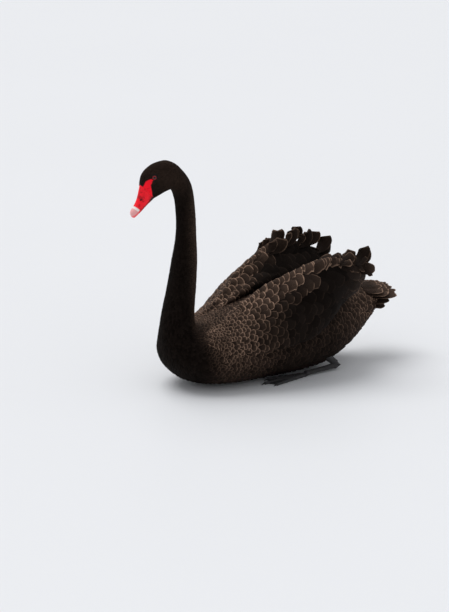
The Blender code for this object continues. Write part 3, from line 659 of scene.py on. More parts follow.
class Finish:
    """A material with a Principled shader and short calls for the nodes that feed it."""

    def __init__(self, name, roughness, specular=0.5):
        self.material = bpy.data.materials.new(name)
        self.material.use_nodes = True
        self.tree = self.material.node_tree
        self.shader = self.tree.nodes["Principled BSDF"]
        self.set("Roughness", roughness)
        self.set("Specular IOR Level", specular)

    def set(self, socket, value):
        """Give a socket of the shader a number or a colour."""
        self.shader.inputs[socket].default_value = value

    def feed(self, socket, value):
        """Lead a node's output to a socket of the shader."""
        self.tree.links.new(value, self.shader.inputs[socket])

    def node(self, kind, **settings):
        """A new node with its settings."""
        made = self.tree.nodes.new(kind)
        for key, value in settings.items():
            setattr(made, key, value)
        return made

    def connect(self, value, socket):
        """Lead an output to a node's socket, or set it there."""
        if isinstance(value, bpy.types.NodeSocket):
            self.tree.links.new(value, socket)
        else:
            socket.default_value = value

    def math(self, operation, first, second=0.0):
        """A sum or the like of two values."""
        made = self.node("ShaderNodeMath", operation=operation)
        self.connect(first, made.inputs[0])
        self.connect(second, made.inputs[1])
        return made.outputs[0]

    def between(self, value, low, high):
        """0 below low, 1 above high, and smooth between."""
        made = self.node("ShaderNodeMapRange", interpolation_type="SMOOTHSTEP")
        self.connect(value, made.inputs["Value"])
        made.inputs["From Min"].default_value = low
        made.inputs["From Max"].default_value = high
        return made.outputs["Result"]

    def scaled(self, value, low, high):
        """0 to 1 stretched to low to high."""
        made = self.node("ShaderNodeMapRange")
        self.connect(value, made.inputs["Value"])
        made.inputs["To Min"].default_value = low
        made.inputs["To Max"].default_value = high
        return made.outputs["Result"]

    def tint(self, colour, socket):
        """Lead a colour to a node's socket, or set it there."""
        self.connect(colour if isinstance(colour, bpy.types.NodeSocket) else (*colour, 1.0), socket)

    def mix(self, share, first, second):
        """The first colour at 0, the second at 1."""
        made = self.node("ShaderNodeMix", data_type="RGBA")
        self.connect(share, made.inputs[0])
        self.tint(first, made.inputs[6])
        self.tint(second, made.inputs[7])
        return made.outputs[2]

    def shaded(self, colour, value):
        """A colour made darker or lighter by a number."""
        made = self.node("ShaderNodeMix", data_type="RGBA", blend_type="MULTIPLY")
        made.inputs[0].default_value = 1.0
        self.tint(colour, made.inputs[6])
        self.tree.links.new(value, made.inputs[7])
        return made.outputs[2]

    def noise(self, scale, detail=3.0):
        """Cloudy noise that stays with the object."""
        place = self.node("ShaderNodeTexCoord")
        made = self.node("ShaderNodeTexNoise")
        self.tree.links.new(place.outputs["Object"], made.inputs["Vector"])
        made.inputs["Scale"].default_value = scale
        made.inputs["Detail"].default_value = detail
        return made.outputs["Fac"]

    def marks(self):
        """The marks of a piece: three numbers, and a length as a share of the longest."""
        attribute = self.node("ShaderNodeAttribute", attribute_name="Marks")
        split = self.node("ShaderNodeSeparateColor")
        self.tree.links.new(attribute.outputs["Color"], split.inputs["Color"])
        return split.outputs[0], split.outputs[1], split.outputs[2], attribute.outputs["Alpha"]

    def bump(self, height, distance, strength=1.0):
        """Fine relief from a height."""
        made = self.node("ShaderNodeBump")
        made.inputs["Strength"].default_value = strength
        made.inputs["Distance"].default_value = distance
        self.tree.links.new(height, made.inputs["Height"])
        self.feed("Normal", made.outputs["Normal"])


def plumage_finish(context):
    """Feathers: a dark middle, a worn pale edge, a shaft and fine barbs. Marks: pale, tone, brown."""
    known = bpy.data.materials.get("plumage")
    if known:
        return known
    colours = context.scene.swan_plumage
    finish = Finish("plumage", 0.66, 0.045)
    finish.set("Specular Tint", (0.60, 0.47, 0.40, 1.0))
    pale, tone, brown, size = finish.marks()
    place = finish.node("ShaderNodeUVMap", uv_map="Vane")
    split = finish.node("ShaderNodeSeparateXYZ")
    finish.tree.links.new(place.outputs["UV"], split.inputs["Vector"])
    along = split.outputs["Y"]
    off_middle = finish.math("SUBTRACT", split.outputs["X"], 0.5)
    from_shaft = finish.math("MULTIPLY", finish.math("ABSOLUTE", off_middle), 2.0)
    # How far in from the tip and from the nearer side, in metres
    length = finish.math("MULTIPLY", size, LONGEST_VANE)
    from_tip = finish.math("MULTIPLY", finish.math("SUBTRACT", 1.0, along), length)
    half = finish.math("MULTIPLY", length, HALF_WIDTH)
    from_side = finish.math("MULTIPLY", finish.math("SUBTRACT", 1.0, from_shaft), half)
    waver = finish.scaled(finish.noise(260.0), -0.0005, 0.0005)
    inward = finish.math("ADD", finish.math("MINIMUM", from_tip, from_side), waver)
    thin = finish.math("MINIMUM", RIM_WIDTH, finish.math("MULTIPLY", length, RIM_SHARE))
    rim = finish.between(finish.math("DIVIDE", inward, thin), 1.0, 0.20)
    rim = finish.math("MULTIPLY", rim, finish.between(along, 0.30, 0.90))
    wash = finish.math("MULTIPLY", finish.between(along, 0.45, 1.0), 0.12)
    rim = finish.math("MAXIMUM", rim, wash)
    worn = finish.scaled(finish.noise(140.0), 0.40, 1.40)
    edge = finish.math("MULTIPLY", finish.math("MULTIPLY", rim, pale), worn)
    slant = finish.math("MULTIPLY", from_shaft, 46.0)
    slant = finish.math("SUBTRACT", finish.math("MULTIPLY", along, 150.0), slant)
    wander = finish.math("MULTIPLY", finish.noise(110.0), 9.0)
    barbs = finish.math("SINE", finish.math("ADD", wander, slant))
    mottle = finish.scaled(finish.noise(38.0), 0.72, 1.30)
    base = finish.mix(brown, colours.black, colours.brown)
    base = finish.shaded(base, finish.math("MULTIPLY", mottle, finish.scaled(tone, 0.55, 1.55)))
    streak = finish.math("MULTIPLY", finish.between(barbs, 0.2, 1.0), 0.16)
    base = finish.mix(finish.math("MULTIPLY", streak, pale), base, colours.edge)
    finish.feed("Base Color", finish.mix(edge, base, colours.edge))
    shaft = finish.between(from_shaft, 0.10, 0.0)
    finish.bump(finish.math("ADD", finish.math("MULTIPLY", barbs, 0.25), shaft), 0.0004, 0.7)
    return finish.material


def white_finish(context):
    """The white flight feathers."""
    known = bpy.data.materials.get("white_vane")
    if known:
        return known
    finish = Finish("white_vane", 0.55, 0.3)
    colour = context.scene.swan_plumage.white
    finish.feed("Base Color", finish.shaded(colour, finish.scaled(finish.noise(60.0), 0.85, 1.05)))
    finish.bump(finish.noise(500.0), 0.0003, 0.5)
    return finish.material


def stained_red(finish, context):
    """The red of bill and bare skin, with darker patches."""
    colours = context.scene.swan_parts
    red = finish.shaded(colours.bill, finish.scaled(finish.noise(170.0, 5.0), 0.84, 1.22))
    patches = finish.math("MULTIPLY", finish.between(finish.noise(80.0, 4.0), 0.50, 0.64), 0.7)
    return finish.mix(patches, red, colours.stain)


def skin_finish(context):
    """Skin under the coat, with the bare red part before the eye. Marks: bare, tone, brown."""
    colours = context.scene.swan_plumage
    finish = Finish("skin", 0.44, 0.12)
    bare, tone, brown, _ = finish.marks()
    grain = finish.noise(900.0)
    dark = finish.shaded(finish.mix(brown, colours.black, colours.brown), finish.scaled(tone, 0.4, 1.0))
    finish.feed("Base Color", finish.mix(bare, dark, stained_red(finish, context)))
    finish.bump(grain, 0.0005, 0.6)
    return finish.material


def bill_finish(context):
    """Horn of the bill: red, a pale band and a flesh tip. Marks: band, tip, and dark, the painted shade in
    the nostrils, at the gape and on the lower half.
    """
    colours = context.scene.swan_parts
    finish = Finish("bill_horn", 0.34, 0.22)
    band, tip, dark, _ = finish.marks()
    red = stained_red(finish, context)
    colour = finish.mix(tip, red, colours.nail)
    colour = finish.mix(band, colour, colours.band)
    # Painted shade: the dark mark darkens the nostrils, the gape and the lower half
    colour = finish.mix(dark, colour, (0.022, 0.002, 0.003))
    finish.feed("Base Color", colour)
    finish.set("Coat Weight", 0.05)
    finish.set("Coat Roughness", 0.20)
    finish.bump(finish.noise(420.0, 4.0), 0.0004, 0.45)
    return finish.material


def eye_finish(context):
    """Marks: how far from the middle of the pupil, as a share of a right angle."""
    finish = Finish("eye", 0.16, 0.25)
    turn = finish.marks()[0]
    rays = finish.scaled(finish.noise(2600.0), 0.7, 1.2)
    iris = finish.shaded(context.scene.swan_parts.iris, rays)
    colour = finish.mix(finish.between(turn, 0.33, 0.36), (0.002, 0.002, 0.002), iris)
    colour = finish.mix(finish.between(turn, 0.44, 0.52), colour, (0.004, 0.002, 0.002))
    finish.feed("Base Color", colour)
    finish.set("Coat Weight", 0.3)
    finish.set("Coat Roughness", 0.04)
    return finish.material


def leg_finish(context):
    """Dark skin in small raised scales, with painted shade in the grooves between them."""
    finish = Finish("leg_scales", 0.5, 0.4)
    place = finish.node("ShaderNodeTexCoord")
    cells = finish.node("ShaderNodeTexVoronoi", feature="DISTANCE_TO_EDGE")
    finish.tree.links.new(place.outputs["Object"], cells.inputs["Vector"])
    cells.inputs["Scale"].default_value = 420.0
    raised = finish.between(cells.outputs["Distance"], 0.02, 0.16)
    # Painted shade: the grooves between the scales are darker than their raised tops
    colour = finish.shaded(context.scene.swan_parts.leg, finish.scaled(raised, 0.5, 1.2))
    finish.feed("Base Color", finish.shaded(colour, finish.scaled(finish.noise(60.0), 0.7, 1.4)))
    finish.bump(raised, 0.0006, 0.8)
    return finish.material


def head_place(points):
    """How far points lie behind the bill's tip and above the mouth line."""
    away = points - np.array(BILL_TIP)
    return away @ np.array(BACK_WAY), away @ np.array(UP_WAY)


def head_point(back, up, out=0.0):
    """The point this far behind the bill's tip, above the mouth line and out from the middle."""
    return BILL_TIP + BACK_WAY * back + UP_WAY * up + Vector((out, 0.0, 0.0))


def eye_middle(side):
    """The middle of an eyeball."""
    return head_point(EYE_BACK, EYE_UP, side * EYE_OUT)


def eye_way(side):
    """Where the eye looks: out, and a little forward and up."""
    return (Vector((side, 0.0, 0.0)) + Vector((0.0, -0.30, 0.10))).normalized()


def smooth(value, low, high):
    """0 below low, 1 above high, and smooth between."""
    share = np.clip((value - low) / (high - low), 0.0, 1.0)
    return share * share * (3.0 - 2.0 * share)


def bare_skin(points):
    """1 on the red skin between bill and eye, 0 off it."""
    back, up = head_place(points)
    low = np.interp(back, LORE[:, 0], LORE[:, 1])
    high = np.interp(back, LORE[:, 0], LORE[:, 2])
    inside = smooth(up, low - LORE_BLUR, low + LORE_BLUR) * smooth(high - up, -LORE_BLUR, LORE_BLUR)
    return inside * smooth(LORE[-1, 0] - back, -LORE_BLUR, LORE_BLUR)


def eye_distance(points):
    """How far points lie from the line of sight of the nearer eye."""
    nearest = np.full(points.shape[:-1], 1.0)
    for side in (1, -1):
        away = points - np.array(eye_middle(side))
        way = np.array(eye_way(side))
        ahead = away @ way
        off = np.linalg.norm(away - ahead[..., None] * way, axis=-1)
        nearest = np.minimum(nearest, np.where(points[..., 0] * side > 0.0, off, 1.0))
    return nearest


def body_marks(t, points):
    """How pale the edges are and how brown the feather is, for the coat of the body, with painted shade low
    on the flank and painted light on the crown.
    """
    y, z = points[..., 1], points[..., 2]
    behind = smooth(y, -0.245, -0.185)
    # Painted shade: the pale edges fade towards the floor, low on the flank and under the belly
    pale = behind * np.interp(y, *BODY_PALE) * (0.35 + 0.65 * smooth(z, 0.02, 0.11))
    # Painted light: the top of the head and neck is made brown and pale-edged where the light from above
    # falls
    crown = np.interp(t, *CROWN_PAINTED_LIGHT) * smooth(z, 0.42, 0.50)
    brown = np.maximum(crown, 0.20 + 0.80 * behind * np.interp(y, *BODY_BROWN))
    return np.maximum(pale, 0.14 * crown), brown


def wing_marks(points):
    """The same for a wing: pale in front and along the ridge, nearly black at the rear, and darker below the
    ridge as painted shade.
    """
    y = points[..., 1]
    ridge = np.interp(y, WING[:, 0], WING[:, 2])
    # Painted shade: the further below the ridge, the less pale and brown the feathers
    below = smooth((ridge - points[..., 2]) / np.interp(y, *RIDGE_DEPTH), 0.20, 1.0)
    pale = np.interp(y, *RIDGE_PALE)
    pale += (np.interp(y, *BELOW_PALE) - pale) * below
    brown = np.interp(y, *RIDGE_BROWN)
    brown += (np.interp(y, *BELOW_BROWN) - brown) * below
    return pale, brown


def row_roots(surface, start, end, length_at, width_share, draw,
              first=0.0, last=1.0, along=0.42, beside=0.60, samples=121):
    """Roots of vanes in staggered rows, closer where the vanes are small: u, v and the length there."""
    us, vs, lengths = [], [], []
    u, odd = start, 0
    turns = np.linspace(first, last, samples)
    while u < end:
        places, ways, _, _ = surface.spans(np.full(samples, u), turns)
        length = length_at(u, places)
        gaps = np.linalg.norm(np.diff(places, axis=0), axis=1)
        girth = np.concatenate(((0.0,), np.cumsum(gaps)))
        stretch = np.linalg.norm(ways, axis=1)
        stride = along * length / stretch.mean()
        count = max(3, int(girth[-1] / (beside * width_share * length)))
        marks = (np.arange(count) + 0.5 * odd + draw.uniform(-0.16, 0.16, count)) / count * girth[-1]
        v = np.interp(marks, girth, turns)
        kept = draw.random(count) < np.interp(v, turns, stretch) * stride / (along * length) * 1.15 + 0.10
        us.append(np.full(kept.sum(), u) + draw.uniform(-0.12, 0.12, kept.sum()) * stride)
        vs.append(v[kept])
        lengths.append(np.full(kept.sum(), length))
        u += stride
        odd = 1 - odd
    return np.concatenate(us), np.concatenate(vs), np.concatenate(lengths)


def under_wing(points):
    """True where the body is covered by a wing."""
    x, y, z = np.abs(points[..., 0]), points[..., 1], points[..., 2]
    inner = np.interp(y, WING[:, 0], WING[:, 7])
    low = np.interp(y, WING[:, 0], WING[:, 6])
    return (y > -0.185) & (y < 0.16) & (x > inner + 0.016) & (z > low + 0.020)


def turned(way, out, angle):
    """Ways turned about the way out by an angle."""
    return way * np.cos(angle)[:, None] + np.cross(out, way) * np.sin(angle)[:, None]


class SWAN_OT_skin(bpy.types.Operator):
    """Make one skin for head, neck and body, with sockets for the eyes"""

    bl_idname = "swan.skin"
    bl_label = "Skin"

    def execute(self, context):
        surface = body_surface(context)
        t = np.concatenate((np.linspace(0.0, HEAD_END, 130), np.linspace(HEAD_END, surface.last, 240)[1:]))
        t, turn = grid(t, rounds(96))
        place, _, _, out = surface.spans(t, turn)
        bare = bare_skin(place)
        points = place - out * (surface.depth(t) * (1.0 - bare))[..., None]
        off = eye_distance(place)
        brow = np.exp(-((off - BROW_WAY) / BROW_WIDTH) ** 2) * BROW_HEIGHT
        points += out * brow[..., None]
        for side in (1, -1):
            near = (place[..., 0] * side > 0.0) & (off < LID_RADIUS + LID_THICK)
            sunk = SOCKET_DEPTH * (1.0 - smooth(off, LID_RADIUS - 0.0010, LID_RADIUS + LID_THICK))
            points -= np.array(eye_way(side)) * (sunk * near)[..., None]
        points[..., 2] = np.maximum(points[..., 2], 0.0004)
        _, brown = body_marks(t, place)
        marks = np.stack((bare, np.full(t.shape, 0.4), brown), axis=-1)
        unwrap = np.stack((turn, t / surface.last), axis=-1)
        mesh = grid_mesh("skin", points, {"OFBake": unwrap, "Vane": unwrap * 0.0}, marks)
        piece(mesh, skin_finish(context), "black_plumage",
              "head", "neck_upper", "neck_middle", "neck_lower", "torso")
        return {"FINISHED"}


class SWAN_OT_small_feathers(bpy.types.Operator):
    """Lay the small feathers of head, neck and body, smallest on the face"""

    bl_idname = "swan.small_feathers"
    bl_label = "Small feathers"

    def execute(self, context):
        sizes = context.scene.swan_coat
        surface = body_surface(context)
        values = (sizes.face, sizes.face * 1.15, sizes.neck * 0.66, sizes.neck, sizes.neck * 1.30,
                  sizes.chest, sizes.flank * 0.85, sizes.flank, sizes.flank * 0.86)
        regions = (("head_feathers", COAT_START, HEAD_END, TUFT, "black_plumage"),
                   ("upper_neck_feathers", HEAD_END, NECK_MIDDLE, TUFT, "black_plumage"),
                   ("lower_neck_feathers", NECK_MIDDLE, NECK_END, TUFT, "black_plumage"),
                   ("body_feathers", NECK_END, COAT_END, SMALL_VANE, "brown_plumage"))
        draw = np.random.default_rng(SEED)
        for name, start, end, outline, slot in regions:
            u, v, length = row_roots(
                surface, start, end, lambda t, _: float(np.interp(t, COAT_KNOTS, values)), COAT_WIDTH, draw)
            place, along, _, out = surface.spans(u, v)
            tip = place + unit(along) * length[:, None]
            clear = np.minimum(eye_distance(place), eye_distance(tip)) > LID_RADIUS + LID_THICK * 0.6
            kept = (bare_skin(place) < 0.3) & clear & ~under_wing(place)
            u, v, length, along, out, place = (a[kept] for a in (u, v, length, along, out, place))
            number = len(u)
            length = length * draw.uniform(0.88, 1.14, number)
            way = turned(unit(along), out, draw.normal(0.0, 0.10, number))
            lift = draw.uniform(-0.06, 0.10, number) * surface.depth(u)
            width = length * COAT_WIDTH * draw.uniform(0.90, 1.12, number)
            points = lay(surface, u, v, way, length, width, outline, lift, draw)
            pale, brown = body_marks(u, place)
            pale = pale * draw.uniform(0.6, 1.1, number)
            marks = np.stack((pale, draw.random(number), brown), axis=-1)
            vanes = Vanes()
            roots = np.stack((v % 1.0, np.clip((u - start) / (end - start), 0.0, 1.0)), axis=-1)
            vanes.add(points, outline, roots, marks)
            piece(vanes.mesh(name), plumage_finish(context), slot)
        return {"FINISHED"}


class SWAN_OT_wing_coverts(bpy.types.Operator):
    """Make each wing's skin and lay its coverts, from small at the shoulder to large at the rear"""

    bl_idname = "swan.wing_coverts"
    bl_label = "Wing coverts"

    def execute(self, context):
        sizes = context.scene.swan_coat
        values = (sizes.shoulder, sizes.shoulder * 1.5, sizes.covert * 0.50, sizes.covert * 0.72,
                  sizes.covert * 0.90, sizes.covert)
        for side, word in SIDES:
            surface = wing_surface(side)
            draw = np.random.default_rng(SEED + 2 + side)
            t, share = grid(np.linspace(0.0, surface.last, 90), rounds(60))
            place, _, _, out = surface.spans(t, share)
            _, brown = wing_marks(place)
            marks = np.stack((brown * 0.0, np.full(t.shape, 0.3), brown * 0.6), axis=-1)
            unwrap = np.stack((share, t / surface.last), axis=-1)
            maps = {"OFBake": unwrap, "Vane": unwrap * 0.0}
            core = grid_mesh(f"wing_skin_{word}", place - out * WING_COAT, maps, marks)
            piece(core, plumage_finish(context), "brown_plumage", f"wing_{word}")
            u, v, length = row_roots(
                surface, *COVERT_ROWS,
                lambda _, places: float(np.interp(places[:, 1].mean(), COVERT_KNOTS, values)),
                COVERT_WIDTH, draw, first=-0.04, last=0.90, along=0.40, beside=0.76)
            # One more row along the ridge, where the two sides part
            row = np.arange(*CREST_ROWS)
            u, v = np.append(u, row), np.append(v, 0.5 + draw.uniform(-0.02, 0.02, len(row)))
            row_y = np.interp(row, np.arange(len(WING)), WING[:, 0])
            length = np.append(length, 0.85 * np.interp(row_y, COVERT_KNOTS, values))
            place, along, _, out = surface.spans(u, v)
            inner = smooth(v % 1.0, 0.50, 0.62) * (v % 1.0 < 0.95)
            lean = np.zeros_like(along)
            lean[:, 1] = 1.0
            lean[:, 2] = np.where(inner > 0.0, 0.55 * inner, -0.20 - 0.45 * smooth(place[:, 1], -0.12, 0.06))
            crest = np.exp(-((v % 1.0 - 0.5) / 0.06) ** 2)[:, None]
            lean = unit(lean) * (1.0 - crest) + unit(along) * crest
            number = len(u)
            length = length * draw.uniform(0.92, 1.10, number)
            width = length * COVERT_WIDTH * draw.uniform(0.94, 1.08, number)
            way = turned(unit(lean), out, draw.normal(0.0, 0.07, number))
            lift = draw.uniform(0.0002, 0.0022, number)
            points = lay(surface, u, v, way, length, width, ROUND_VANE, lift, draw, columns=5, camber=0.07,
                         thick=0.0007)
            pale, brown = wing_marks(place)
            marks = np.stack((pale * draw.uniform(0.40, 1.15, number), draw.random(number), brown), axis=-1)
            vanes = Vanes()
            roots = np.stack((v % 1.0, np.clip(u / surface.last, 0.0, 1.0)), axis=-1)
            vanes.add(points, ROUND_VANE, roots, marks)
            piece(vanes.mesh(f"coverts_{word}"), plumage_finish(context), "brown_plumage")
        return {"FINISHED"}


def curl_line(root, heading, length, start, turn, twist, hook=0.0, roll=0.0):
    """Middles and faces of a feather that runs back, bends up, rolls over and hooks at its tip."""
    heading = Vector(heading).normalized()
    across = heading.cross(Vector((0.0, 0.0, 1.0)))
    point = Vector(root)
    step = length / (CURL_STATIONS - 1)
    middles, outs = [], []
    for k in range(CURL_STATIONS):
        done = k / (CURL_STATIONS - 1)
        rise = start + turn * done ** 1.5 + hook * max(0.0, done - 0.6) ** 2
        ahead = heading * math.cos(rise) + Vector((0.0, 0.0, math.sin(rise)))
        outs.append(Matrix.Rotation(roll + twist * done, 3, ahead) @ across.cross(ahead))
        middles.append(point.copy())
        point = point + ahead * step
    return middles, outs


def wing_root(surface, y, share):
    """A root just under the surface of a wing."""
    t = min(np.interp(y, WING[:, 0], np.arange(len(WING))), surface.last - 0.3)
    place, _, _, out = surface.spans(np.array([t]), np.array([share]))
    return Vector(place[0] - out[0] * CURL_SINK)


def curl_outline(shape=BLADE):
    """The outline of a curled feather at each of its stations."""
    done = np.linspace(0.0, 1.0, CURL_STATIONS)
    return list(zip(done, np.interp(done, BLADE_PLACES, shape)))


def widths(outline, full):
    """The widths of a vane at its stations."""
    return [full * wide for _, wide in outline]


class SWAN_OT_flight_feathers(bpy.types.Operator):
    """Make the last feathers of each wing, the white ones below them and the curled ones on top"""

    bl_idname = "swan.flight_feathers"
    bl_label = "Flight feathers"

    def execute(self, context):
        wings = context.scene.swan_wings
        outline = curl_outline()
        for side, word in SIDES:
            draw = np.random.default_rng(SEED + 10 + side)
            surface = wing_surface(side)
            vanes = Vanes()
            number = REAR_FEATHERS
            u = np.choose(np.arange(number) % 3, REAR_ROWS) + draw.uniform(-0.15, 0.15, number)
            v = np.linspace(-0.03, 0.47, number)
            way = np.stack((draw.normal(-side * 0.06, 0.10, number), np.ones(number),
                            draw.normal(-0.10, 0.16, number)), axis=-1)
            length = wings.rear_length * draw.uniform(0.86, 1.02, number) * np.interp(u, *REAR_SHORTER)
            width = np.full(number, wings.rear_width)
            lift = draw.uniform(0.0010, 0.0080, number)
            points = lay(surface, u, v, way, length, width, ROUND_VANE, lift, draw, columns=5, camber=0.06,
                         thick=0.0008)
            pale, tone = draw.uniform(0.08, 0.40, number), draw.random(number)
            marks = np.stack((pale, tone, np.full(number, 0.15)), axis=-1)
            vanes.add(points, ROUND_VANE, np.stack((v % 1.0, u / surface.last * 0.9), axis=-1), marks)
            self.curls(vanes, surface, side, wings, draw)
            if side > 0:
                self.droop(vanes, surface, wings, draw)
            piece(vanes.mesh(f"flight_feathers_{word}"), plumage_finish(context), "black_plumage")
            white = Vanes()
            for i in range(WHITE_FEATHERS):
                root = Vector((side * (0.058 + 0.004 * i), 0.140 - 0.006 * i, 0.2000 + 0.0013 * i))
                tip = Vector((side * (0.046 + 0.0050 * i), 0.210 - 0.004 * i, 0.1970 + 0.0016 * i))
                middles = [root.lerp(tip, done) for done, _ in outline]
                outs = [(side * 0.25, 0.0, 1.0)] * CURL_STATIONS
                points = free_vane(middles, outs, widths(outline, WHITE_WIDTH), draw)
                white.add(points, outline, np.array([[0.1 * i, 0.5]]), np.array([[0.0, 0.5, 0.0]]))
            piece(white.mesh(f"white_feathers_{word}"), white_finish(context), "brown_plumage")
        return {"FINISHED"}

    def curls(self, vanes, surface, side, wings, draw):
        """The curled feathers of the solids, each with smaller ones beside it."""
        outline = curl_outline()
        solids = random.Random(CURL_SEED + side)
        for _ in range(COVERT_DRAWS):
            solids.uniform(-VANE_SHIFT, VANE_SHIFT)
        for i in range(CURLS):
            y = CURL_SPAN[0] + (CURL_SPAN[1] - CURL_SPAN[0]) * i / (CURLS - 1)
            length = solids.uniform(*CURL_LENGTHS)
            turn, twist = (math.radians(solids.uniform(*span)) for span in (CURL_TURNS, CURL_TWISTS))
            width = solids.uniform(*CURL_WIDTHS)
            slant = solids.uniform(*CURL_HEADINGS)
            # The left wing's lie low, and leave its ridge clear up to the peak
            calm = 1.0 if side < 0 else float(np.interp(y, *CURL_CALM))
            for k in range(wings.companions + 1):
                less = 1.0 if k == 0 else draw.uniform(0.62, 0.92)
                there = y + (draw.uniform(-0.013, 0.013) if k else 0.0)
                share = CURL_SHARES[i % 2] + (draw.uniform(-0.05, 0.05) if k else 0.0)
                share = max(share, 0.53) if side > 0 and y < 0.09 else share
                heading = (side * (slant + (draw.uniform(-0.35, 0.35) if k else 0.0)), 1.0, 0.0)
                middles, outs = curl_line(
                    wing_root(surface, there, share), heading, length * less, CURL_START * calm,
                    turn * calm * (draw.uniform(0.7, 1.25) if k else 1.0),
                    twist * (draw.uniform(0.3, 1.3) if k else 1.0), hook=draw.uniform(0.0, 9.0) * calm)
                wide = width * less * draw.uniform(0.90, 1.10)
                points = free_vane(middles, outs, widths(outline, wide), draw,
                                   cup=draw.uniform(-0.05, 0.30), ruffle=wings.ruffle)
                marks = np.array([[draw.uniform(0.10, 0.45), draw.random() * 0.7, 0.30]])
                vanes.add(points, outline, np.array([[0.12 * i, 0.94 + 0.01 * k]]), marks)

    def droop(self, vanes, surface, wings, draw):
        """Feathers that hang over the rear of the left wing."""
        outline = curl_outline()
        for i in range(wings.drooping):
            done = i / max(1, wings.drooping - 1)
            root = wing_root(surface, 0.118 + 0.064 * done, 0.30 + 0.085 * (i % 3))
            heading = (draw.uniform(-0.25, 0.30), 1.0, 0.0)
            middles, outs = curl_line(
                root, heading, draw.uniform(0.034, 0.050), math.radians(12.0),
                math.radians(-draw.uniform(55.0, 100.0)), math.radians(draw.uniform(-30.0, 40.0)),
                roll=math.radians(draw.uniform(45.0, 75.0)))
            wide = draw.uniform(0.022, 0.031)
            points = free_vane(middles, outs, widths(outline, wide), draw,
                               cup=draw.uniform(-0.10, 0.25), ruffle=wings.ruffle)
            marks = np.array([[draw.uniform(0.20, 0.60), draw.random() * 0.8, 0.35]])
            vanes.add(points, outline, np.array([[0.1 * i, 0.90]]), marks)


class SWAN_OT_tail_feathers(bpy.types.Operator):
    """Make the tail fan with its coverts above and below"""

    bl_idname = "swan.tail_feathers"
    bl_label = "Tail feathers"

    def execute(self, context):
        draw = np.random.default_rng(SEED + 20)
        outline = curl_outline(FLAT_BLADE)
        vanes = Vanes()
        for count, length, width, lift, pale in TAIL_TIERS:
            for i in range(count):
                across = 2.0 * i / (count - 1) - 1.0
                angle = TAIL_SPREAD * across
                ahead = Vector((math.sin(angle), math.cos(angle), 0.02 - 0.05 * abs(across))).normalized()
                root = TAIL_ROOT + Vector((TAIL_ROOT_WIDTH * across, 0.0, lift - 0.008 * across * across))
                far = length * (1.0 - 0.10 * across * across) * draw.uniform(0.95, 1.03)
                bend = Vector((0.0, 0.0, draw.uniform(-0.002, 0.003)))
                middles = [root + ahead * far * done + bend * done * done for done, _ in outline]
                outs = [(0.20 * across + 0.12 + draw.uniform(-0.08, 0.08), 0.0, 1.0)] * CURL_STATIONS
                points = free_vane(middles, outs, widths(outline, width), draw, ruffle=0.0007)
                marks = np.array([[pale, draw.random(), 0.9]])
                vanes.add(points, outline, np.array([[(across + 1.0) * 0.45, 0.5 + lift * 10.0]]), marks)
        piece(vanes.mesh("tail_feathers"), plumage_finish(context), "brown_plumage", "tail")
        return {"FINISHED"}


def bill_mesh(name, table, underneath):
    """A half of the bill as a smooth tube, its marks laid on by place."""
    last = len(table) - 1.0
    t, turn = grid(np.linspace(0.0, last, 90), rounds(48))
    back, wide, ridge, mouth = np.moveaxis(blend_table(table, t), -1, 0)
    arch = turn * 2.0 < 1.0
    angle = math.tau * turn
    x = wide * np.cos(angle)
    up = mouth + (ridge - mouth) * np.abs(np.sin(angle)) * np.where(arch, 1.0, FLAT_SIDE)
    tip_point, back_way, up_way = (np.array(v) for v in (BILL_TIP, BACK_WAY, UP_WAY))
    points = tip_point + back[..., None] * back_way + up[..., None] * up_way
    points[..., 0] += x
    dark = np.zeros(t.shape)
    if not underneath:
        long = (back - NOSTRIL[0]) / NOSTRIL_SIZE[0]
        tall = (up - NOSTRIL[1]) / NOSTRIL_SIZE[1]
        hole = np.clip(1.0 - (long * long + tall * tall), 0.0, 1.0) * arch
        points[..., 0] -= np.sign(x) * NOSTRIL_DEPTH * smooth(hole, 0.0, 0.6)
        # Painted shade in the nostril's hollow
        dark = smooth(hole, 0.1, 0.6)
    reach = smooth(up, 0.0015, 0.0045)
    behind_tip, behind_band = (smooth(back, edge - BAND_BLUR, edge + BAND_BLUR) for edge in BAND)
    band = behind_tip * (1.0 - behind_band)
    tip = 1.0 - behind_tip
    # Painted shade at the gape, and over the whole lower half
    gape = smooth(back, 0.046, 0.064) * (1.0 - smooth(up, 0.0, 0.010))
    dark = np.minimum(np.maximum(dark, 0.80 * gape + (0.55 if underneath else 0.0)), 1.0)
    marks = np.stack((band * reach, tip * (0.35 + 0.65 * reach), dark), axis=-1)
    unwrap = np.stack((turn, t / last), axis=-1)
    return grid_mesh(name, points, {"OFBake": unwrap}, marks)


class SWAN_OT_bill(bpy.types.Operator):
    """Make both halves of the bill with nostrils, band and tip"""

    bl_idname = "swan.bill"
    bl_label = "Bill"

    def execute(self, context):
        horn = bill_finish(context)
        piece(bill_mesh("upper_bill", UPPER_BILL, False), horn, "red_bill", "bill_upper")
        piece(bill_mesh("lower_bill", LOWER_BILL, True), horn, "red_bill", "bill_lower")
        return {"FINISHED"}


